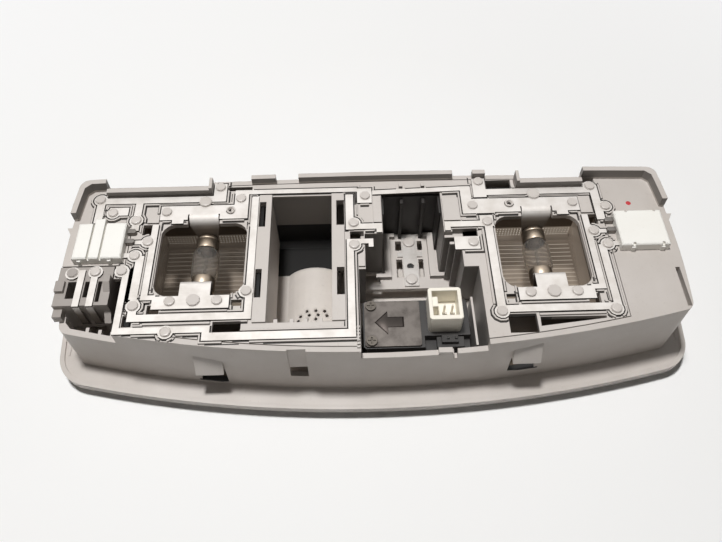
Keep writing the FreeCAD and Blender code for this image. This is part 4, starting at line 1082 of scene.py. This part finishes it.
class ROOFLAMP_OT_stage(bpy.types.Operator):
    """Lay the floor, set the lights and place the camera"""

    bl_idname = "rooflamp.stage"
    bl_label = "Stage"

    def execute(self, context):
        scene = context.scene
        stage = scene.roof_lamp_stage
        scene.view_settings.view_transform = "Standard"
        # Floor
        mesh = bmesh.new()
        bmesh.ops.create_grid(mesh, x_segments=2, y_segments=2, size=4.0)
        data = bpy.data.meshes.new("floor")
        mesh.to_mesh(data)
        mesh.free()
        floor = bpy.data.objects.new("floor", data)
        floor.location.z = -FLOOR_SINK
        scene.collection.objects.link(floor)
        white, tree, shader = blank_material("floor_white")
        shader.inputs["Roughness"].default_value = 0.9
        shader.inputs["Specular IOR Level"].default_value = 0.1
        cloud = noise(tree, object_place(tree), 3.0, 3.0)
        pale = mixed(tree, cloud, opaque(stage.floor), opaque(scaled(stage.floor, 0.985)))
        # Less of the floor's light comes back onto the lamp than the eye sees there
        direct = seen_rays(tree)
        bounce = opaque(scaled(stage.floor, stage.bounce))
        tree.links.new(mixed(tree, direct, bounce, pale), shader.inputs["Base Color"])
        # Away from the lamp the floor runs out into the white backdrop
        radius = tree.nodes.new("ShaderNodeVectorMath")
        radius.operation = "LENGTH"
        tree.links.new(object_place(tree), radius.inputs[0])
        far = maths(tree, "MULTIPLY", remap(tree, radius.outputs["Value"], 0.16, 0.42), direct)
        backdrop = tree.nodes.new("ShaderNodeEmission")
        backdrop.inputs["Color"].default_value = (1.0, 1.0, 1.0, 1.0)
        output = next(node for node in tree.nodes if node.type == "OUTPUT_MATERIAL")
        blend_shaders(tree, far, shader, backdrop, output)
        data.materials.append(white)
        # World: white to the eye and in reflections, dimmer as light
        world = bpy.data.worlds.new("studio")
        world.use_nodes = True
        scene.world = world
        tree = world.node_tree
        tree.nodes.clear()
        output = tree.nodes.new("ShaderNodeOutputWorld")
        seen = tree.nodes.new("ShaderNodeBackground")
        light = tree.nodes.new("ShaderNodeBackground")
        seen.inputs["Color"].default_value = (1.0, 1.0, 1.0, 1.0)
        light.inputs["Color"].default_value = (1.0, 0.97, 0.93, 1.0)
        light.inputs["Strength"].default_value = stage.sky
        blend_shaders(tree, seen_rays(tree), light, seen, output)
        # Lights: a small key high above and a little to the left, a weak broad fill in front
        for name, power, size, place in (
            ("key", stage.key, 0.12, (-0.12, 0.07, 1.0)),
            ("fill", stage.fill, 0.8, (0.4, -0.9, 0.7)),
        ):
            lamp = bpy.data.lights.new(name, "AREA")
            lamp.shape = "DISK"
            lamp.size = size
            lamp.energy = power
            made = bpy.data.objects.new(name, lamp)
            made.location = place
            made.rotation_euler = (LIGHT_AIM - Vector(place)).to_track_quat("-Z", "Y").to_euler()
            scene.collection.objects.link(made)
        # Camera, placed as in the photo
        lens = bpy.data.cameras.new("camera")
        lens.sensor_width = 36.0
        lens.lens = stage.focal
        lens.clip_start = 0.01
        eye = bpy.data.objects.new("camera", lens)
        turn = Matrix.Identity(4)
        for degrees, axis in CAMERA_TURNS:
            turn = turn @ Matrix.Rotation(math.radians(degrees), 4, axis)
        eye.matrix_world = Matrix.Translation(CAMERA_PLACE) @ turn
        scene.collection.objects.link(eye)
        scene.camera = eye
        return {"FINISHED"}


OPERATORS = (
    ROOFLAMP_OT_housing,
    ROOFLAMP_OT_terminal_plate,
    ROOFLAMP_OT_face_panel,
    ROOFLAMP_OT_lenses,
    ROOFLAMP_OT_strips,
    ROOFLAMP_OT_switches,
    ROOFLAMP_OT_bulbs,
    ROOFLAMP_OT_tub,
    ROOFLAMP_OT_module,
    ROOFLAMP_OT_stage,
)


class ROOFLAMP_PT_sidebar(bpy.types.Panel):
    """Steps that dress the lamp"""

    bl_idname = "ROOFLAMP_PT_sidebar"
    bl_label = "Roof lamp"
    bl_space_type = "VIEW_3D"
    bl_region_type = "UI"
    bl_category = "Roof lamp"

    def draw(self, context):
        for operator in OPERATORS:
            self.layout.operator(operator.bl_idname)
        for name in ("roof_lamp_finishes", "roof_lamp_sizes", "roof_lamp_stage"):
            group = getattr(context.scene, name)
            box = self.layout.box()
            for key in group.__annotations__:
                box.prop(group, key)


CLASSES = (RoofLampFinishes, RoofLampSizes, RoofLampStage, *OPERATORS, ROOFLAMP_PT_sidebar)


def register():
    for item in CLASSES:
        bpy.utils.register_class(item)
    bpy.types.Scene.roof_lamp_finishes = PointerProperty(type=RoofLampFinishes)
    bpy.types.Scene.roof_lamp_sizes = PointerProperty(type=RoofLampSizes)
    bpy.types.Scene.roof_lamp_stage = PointerProperty(type=RoofLampStage)


def unregister():
    del bpy.types.Scene.roof_lamp_stage
    del bpy.types.Scene.roof_lamp_sizes
    del bpy.types.Scene.roof_lamp_finishes
    for item in reversed(CLASSES):
        bpy.utils.unregister_class(item)


def main():
    register()
    bpy.ops.rooflamp.stage()
    bpy.ops.rooflamp.housing()
    bpy.ops.rooflamp.terminal_plate()
    bpy.ops.rooflamp.face_panel()
    bpy.ops.rooflamp.lenses()
    bpy.ops.rooflamp.strips()
    bpy.ops.rooflamp.switches()
    bpy.ops.rooflamp.bulbs()
    bpy.ops.rooflamp.tub()
    bpy.ops.rooflamp.module()


if __name__ == "__main__":
    main()
